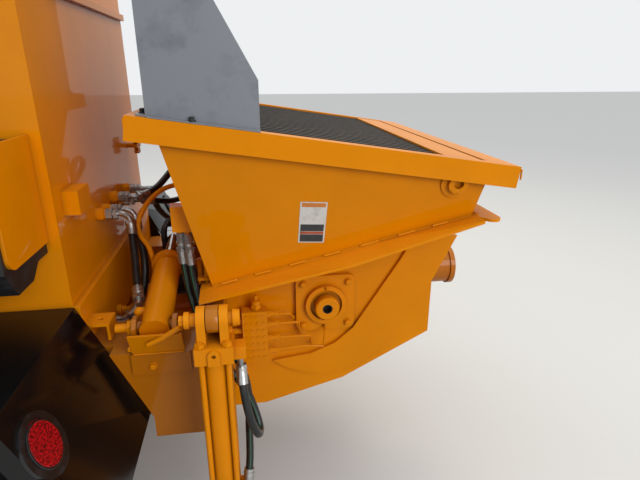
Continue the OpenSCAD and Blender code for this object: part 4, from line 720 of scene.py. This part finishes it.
for dz in (44, 104, 140):
    at = (block_high.x, 372, block_low.z + dz)
    add_bar(plugs, (at[0], at[1], at[2]), (at[0] + 10, at[1], at[2]), 10, sides=6)
    add_bar(plugs, (at[0] + 18, at[1], at[2]), (at[0] + 27, at[1], at[2]), 9, sides=6)
add_bar(plugs, (block_low.x + 32, 370, block_high.z + 4), (block_low.x + 32, 370, block_high.z + 16), 16, sides=6)
place("grease_plugs", plugs, orange_enamel, slot="paint")

# Rear legs. A double-acting cylinder with four tie rods hangs from a pin in the bracket's arm. Its rod
# is hard chromed and ends in a round foot. The pins are kept by a plate and bolt.
hard_chrome, tree, shader = new_material("hard_chrome", "C9CBCE", 0.1, 1.0)
patches(tree, shader, "C9CBCE", "A9A8A4", 45, roughness=(0.08, 0.22))
dress(["leg_rod_left", "leg_rod_right", "shift_rod_left", "shift_rod_right"], hard_chrome)
leg_x, leg_y, leg_high_z, leg_low_z, leg_pin_z = -1580, 673, 850, 330, 905
leg_nuts = bmesh.new()
pins = bmesh.new()
for side in sides:
    for x in (-31, 31):
        for y in (-31, 31):
            for z0, z1 in ((leg_high_z, leg_high_z + 11), (leg_low_z - 11, leg_low_z)):
                add_bar(leg_nuts, (leg_x + x, side * (leg_y + y), z0), (leg_x + x, side * (leg_y + y), z1), 12, sides=6)
    add_bar(pins, (leg_x - 46, side * leg_y, leg_pin_z), (leg_x - 62, side * leg_y, leg_pin_z), 21, 19, 32)
    add_bar(pins, (leg_x + 64, side * leg_y, leg_pin_z), (leg_x + 76, side * leg_y, leg_pin_z), 13, sides=6)
    add_bar(leg_nuts, (leg_x, side * leg_y, leg_low_z - 16), (leg_x, side * leg_y, leg_low_z + 2), 30, sides=32)
place("tie_rod_nuts", leg_nuts, orange_enamel, slot="paint")
place("leg_pin_heads", pins, orange_enamel, slot="paint")

# Shift cylinders. Two small cylinders push the valve's crank from side to side. Each turns on a pin
# between two ears, whose bolts and lock nuts are painted over.
foot_x, foot_y_mm, foot_z = -1412, 490, 798
shift_bolts = bmesh.new()
for side in sides:
    add_bar(shift_bolts, (foot_x + 60, side * foot_y_mm, foot_z), (foot_x + 104, side * foot_y_mm, foot_z), 12)
    add_bar(shift_bolts, (foot_x + 62, side * foot_y_mm, foot_z), (foot_x + 72, side * foot_y_mm, foot_z), 21, sides=6)
    add_bar(shift_bolts, (foot_x - 60, side * foot_y_mm, foot_z), (foot_x - 70, side * foot_y_mm, foot_z), 21, sides=6)
    add_bolt(shift_bolts, (-1401, side * 528.3, 700), (0, side, 0), 15)
    add_bolt(shift_bolts, (-1352, side * 524, 752), (1, 0, 0), 14)
place("shift_foot_nuts", shift_bolts, orange_enamel, slot="paint")
foot_guards = bmesh.new()
guard_section = ((508, 722), (520.5, 722), (528, 737), (562, 808), (553, 808), (518, 737))
for side in sides:
    ends = [[foot_guards.verts.new((x / 1000, side * y / 1000, z / 1000)) for y, z in guard_section]
            for x in (-1352, -1486)]
    made = [foot_guards.faces.new(ends[0]), foot_guards.faces.new(list(reversed(ends[1])))]
    for k in range(6):
        made.append(foot_guards.faces.new((ends[0][k], ends[1][k], ends[1][(k + 1) % 6], ends[0][(k + 1) % 6])))
    bmesh.ops.recalc_face_normals(foot_guards, faces=made)
    add_tube(foot_guards, [(-1400, side * 556, 780), (-1440, side * 562, 800), (-1484, side * 560, 826)], 7.5, 8)
    add_weld(foot_guards, (-1354, side * 530, 738), (-1484, side * 530, 738), 2.5)
place("foot_guards", foot_guards, orange_enamel, slot="paint")

# Hydraulic hoses. Two-wire rubber hose in a smooth black cover is swaged into plated ferrules, which
# screw to elbows of the same bright steel. The pair to the left leg has a thin green mark along it.
hose_rubber, tree, shader = new_material("hose_rubber", "101112", 0.42, Specular_IOR_Level=0.4)
patches(tree, shader, "101112", "232321", 28, roughness=(0.36, 0.6))
green_mark, tree, shader = new_material("green_mark", "1E5A3C", 0.5)
patches(tree, shader, "1E5A3C", "18402C", 20)


def stretch(path, start, end):
    """The part of a path between two distances along it, in millimetres."""
    kept, gone = [], 0.0
    for a, b in zip(path, path[1:]):
        step = (b - a).length
        for share in (start - gone, end - gone):
            if 0 <= share <= step and (share == start - gone or kept):
                kept.append(a.lerp(b, share / step))
        if start < gone + step < end:
            kept.append(b)
        gone += step
    return kept


hoses = (
    ("shift_hose", 12, sides, False, 62, 24,
     ((-1254.8, 172, 1027), (-1264, 172, 1027), (-1280, 172, 1027), (-1297, 176, 1019), (-1306, 182, 1006),
      (-1311, 200, 970), (-1320, 240, 922), (-1334, 310, 872), (-1348, 375, 843), (-1357, 418, 826))),
    ("frame_hose", 12, (1,), False, 62, 40,
     ((-1254.8, 108, 1024), (-1264, 108, 1024), (-1277, 108, 1024), (-1297, 109, 1014), (-1308, 113, 992),
      (-1312, 125, 955), (-1322, 146, 915), (-1332, 180, 860), (-1328, 215, 790), (-1300, 240, 730),
      (-1268, 250, 706), (-1254, 250, 703), (-1247, 250, 703), (-1240.6, 250, 703))),
    ("motor_hose_upper", 12, (1,), False, 40, 40,
     ((-1254.8, 0, 1039), (-1264, 0, 1039), (-1282, 0, 1039), (-1300, -8, 1038), (-1318, -30, 1038),
      (-1350, -100, 1050), (-1385, -200, 1085),
      (-1405, -300, 1112), (-1422, -420, 1105), (-1450, -520, 1060), (-1505, -575, 985), (-1580, -575, 908),
      (-1640, -562, 845), (-1710, -520, 790), (-1780, -462, 764), (-1820, -442, 758), (-1847.7, -440, 758))),
    ("motor_hose_lower", 11, (1,), False, 40, 36,
     ((-1254.8, -60, 1010), (-1264, -60, 1010), (-1282, -60, 1010), (-1300, -68, 1008), (-1322, -90, 1000),
      (-1375, -170, 975), (-1410, -280, 960),
      (-1440, -400, 955), (-1480, -500, 945), (-1530, -545, 925), (-1580, -545, 903), (-1640, -532, 845),
      (-1710, -495, 800), (-1780, -455, 799), (-1822, -442, 801.5), (-1854.4, -440, 783.2))),
    ("leg_hose_upper", 10, sides, True, 12, 26,
     ((-1486, 400, 999.2), (-1486, 400, 990), (-1486, 400, 975), (-1488, 400, 940), (-1493, 402, 880),
      (-1505, 416, 820), (-1534, 500, 780),
      (-1566, 570, 764), (-1607, 611, 722), (-1642, 627, 675), (-1665, 640, 615), (-1676, 664, 575),
      (-1670, 702, 590), (-1653, 712, 650), (-1642, 700, 720), (-1639, 678, 765), (-1638, 673, 780),
      (-1638, 673, 790), (-1638, 673, 801.2))),
    ("leg_hose_lower", 10, sides, True, 12, 26,
     ((-1508, 412, 999.2), (-1508, 412, 990), (-1508, 412, 975), (-1509, 412, 940), (-1514, 414, 880),
      (-1530, 438, 820), (-1564, 528, 796),
      (-1602, 582, 774), (-1634, 588, 715), (-1650, 600, 640), (-1648, 626, 560), (-1646, 650, 480),
      (-1640, 668, 425), (-1638, 673, 402), (-1638, 673, 390), (-1638, 673, 374.8))))
ferrule = 46
rubber, fittings = bmesh.new(), bmesh.new()
for name, radius, hands, marked, elbow, tail, points in hoses:
    for hand in hands:
        path = smooth_path([(x, hand * y, z) for x, y, z in points], 8)
        length = sum((b - a).length for a, b in zip(path, path[1:]))
        parts = [(0, elbow, radius * 0.72), (elbow, elbow + ferrule, radius + 3.2),
                 (length - tail - ferrule, length - tail, radius + 3.2), (length - tail, length, radius * 0.72)]
        for start, end, thick in parts:
            add_tube(fittings, stretch(path, start, end), thick, 20)
        for at, size in ((elbow, 1.45), (length - tail - 9, 1.45), (4, 1.5) if elbow > 20 else (1, 1.2)):
            add_tube(fittings, stretch(path, at, at + 11), radius * size, 6)
        for k in (0.2, 0.5, 0.8):
            for base in (elbow, length - tail - ferrule):
                add_tube(fittings, stretch(path, base + ferrule * k, base + ferrule * k + 4), radius + 4.2, 20)
        add_tube(rubber, stretch(path, elbow + ferrule - 4, length - tail - ferrule + 4), radius, 24,
                 1 if marked and hand > 0 else None)
hose_piece = place("hydraulic_hose_set", rubber, [hose_rubber, green_mark], slot="hose_rubber", crisp=60)
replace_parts(hose_piece, "hydraulic_hoses")
place("hose_ferrules", fittings, zinc_plate, slot="bare_steel")
painted_line = bmesh.new()
painted_points = ((-1477.2, 40, 1085), (-1470, 40, 1085), (-1460, 40, 1085), (-1444, 48, 1087),
                  (-1400, 80, 1080), (-1362, 105, 1055), (-1335, 132, 1020), (-1320, 150, 980),
                  (-1330, 165, 945), (-1350, 178, 915), (-1362, 190, 870), (-1358, 182, 800),
                  (-1318, 175, 735), (-1276, 172, 703), (-1258, 172, 698), (-1249, 172, 698),
                  (-1240.6, 172, 698))
path = smooth_path(painted_points, 8)
add_tube(painted_line, path, 8, 20)
length = sum((b - a).length for a, b in zip(path, path[1:]))
for at in (0, 34, length - 46, length - 12):
    add_tube(painted_line, stretch(path, at, at + 12), 11.5, 20)
place("painted_hose", painted_line, orange_enamel, slot="paint")

# Each leg's valve block has bright zinc-plated unions screwed over its painted nipples. Two small relief
# valves stand on a plate beside them, under the same enamel as the block.
nipples = bmesh.new()
for side in sides:
    for x, y in ((-1486, 400), (-1508, 412)):
        add_bar(nipples, (x, side * y, 1002), (x, side * y, 1030), 12, sides=6)
        add_bar(nipples, (x, side * y, 996), (x, side * y, 1004), 13.5, sides=20)
place("block_unions", nipples, zinc_plate, slot="bare_steel")
reliefs = bmesh.new()
for side in sides:
    for x, y in ((-1528, 372), (-1548, 392)):
        add_bar(reliefs, (x, side * y, 862), (x, side * y, 925), 8.5, sides=20)
        add_bar(reliefs, (x, side * y, 925), (x, side * y, 940), 10, sides=6)
    add_block(reliefs, (-1566, min(side * 360, side * 404), 884), (-1522, max(side * 360, side * 404), 892))
place("relief_valves", reliefs, orange_enamel, slot="paint")

# Tongue jack. Its square steel tube is bolted to the drawbar, and its crank ends in a loose grip of black
# nylon.
grip = bmesh.new()
jack_high = Vector(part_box("jack_tube")[1]) * 1000
add_bar(grip, (jack_high.x - 11, 0, jack_high.z - 66), (jack_high.x - 11, 0, jack_high.z - 4), 14, 12, 24)
place("crank_grip", grip, black_plastic, slot="moulded_black")
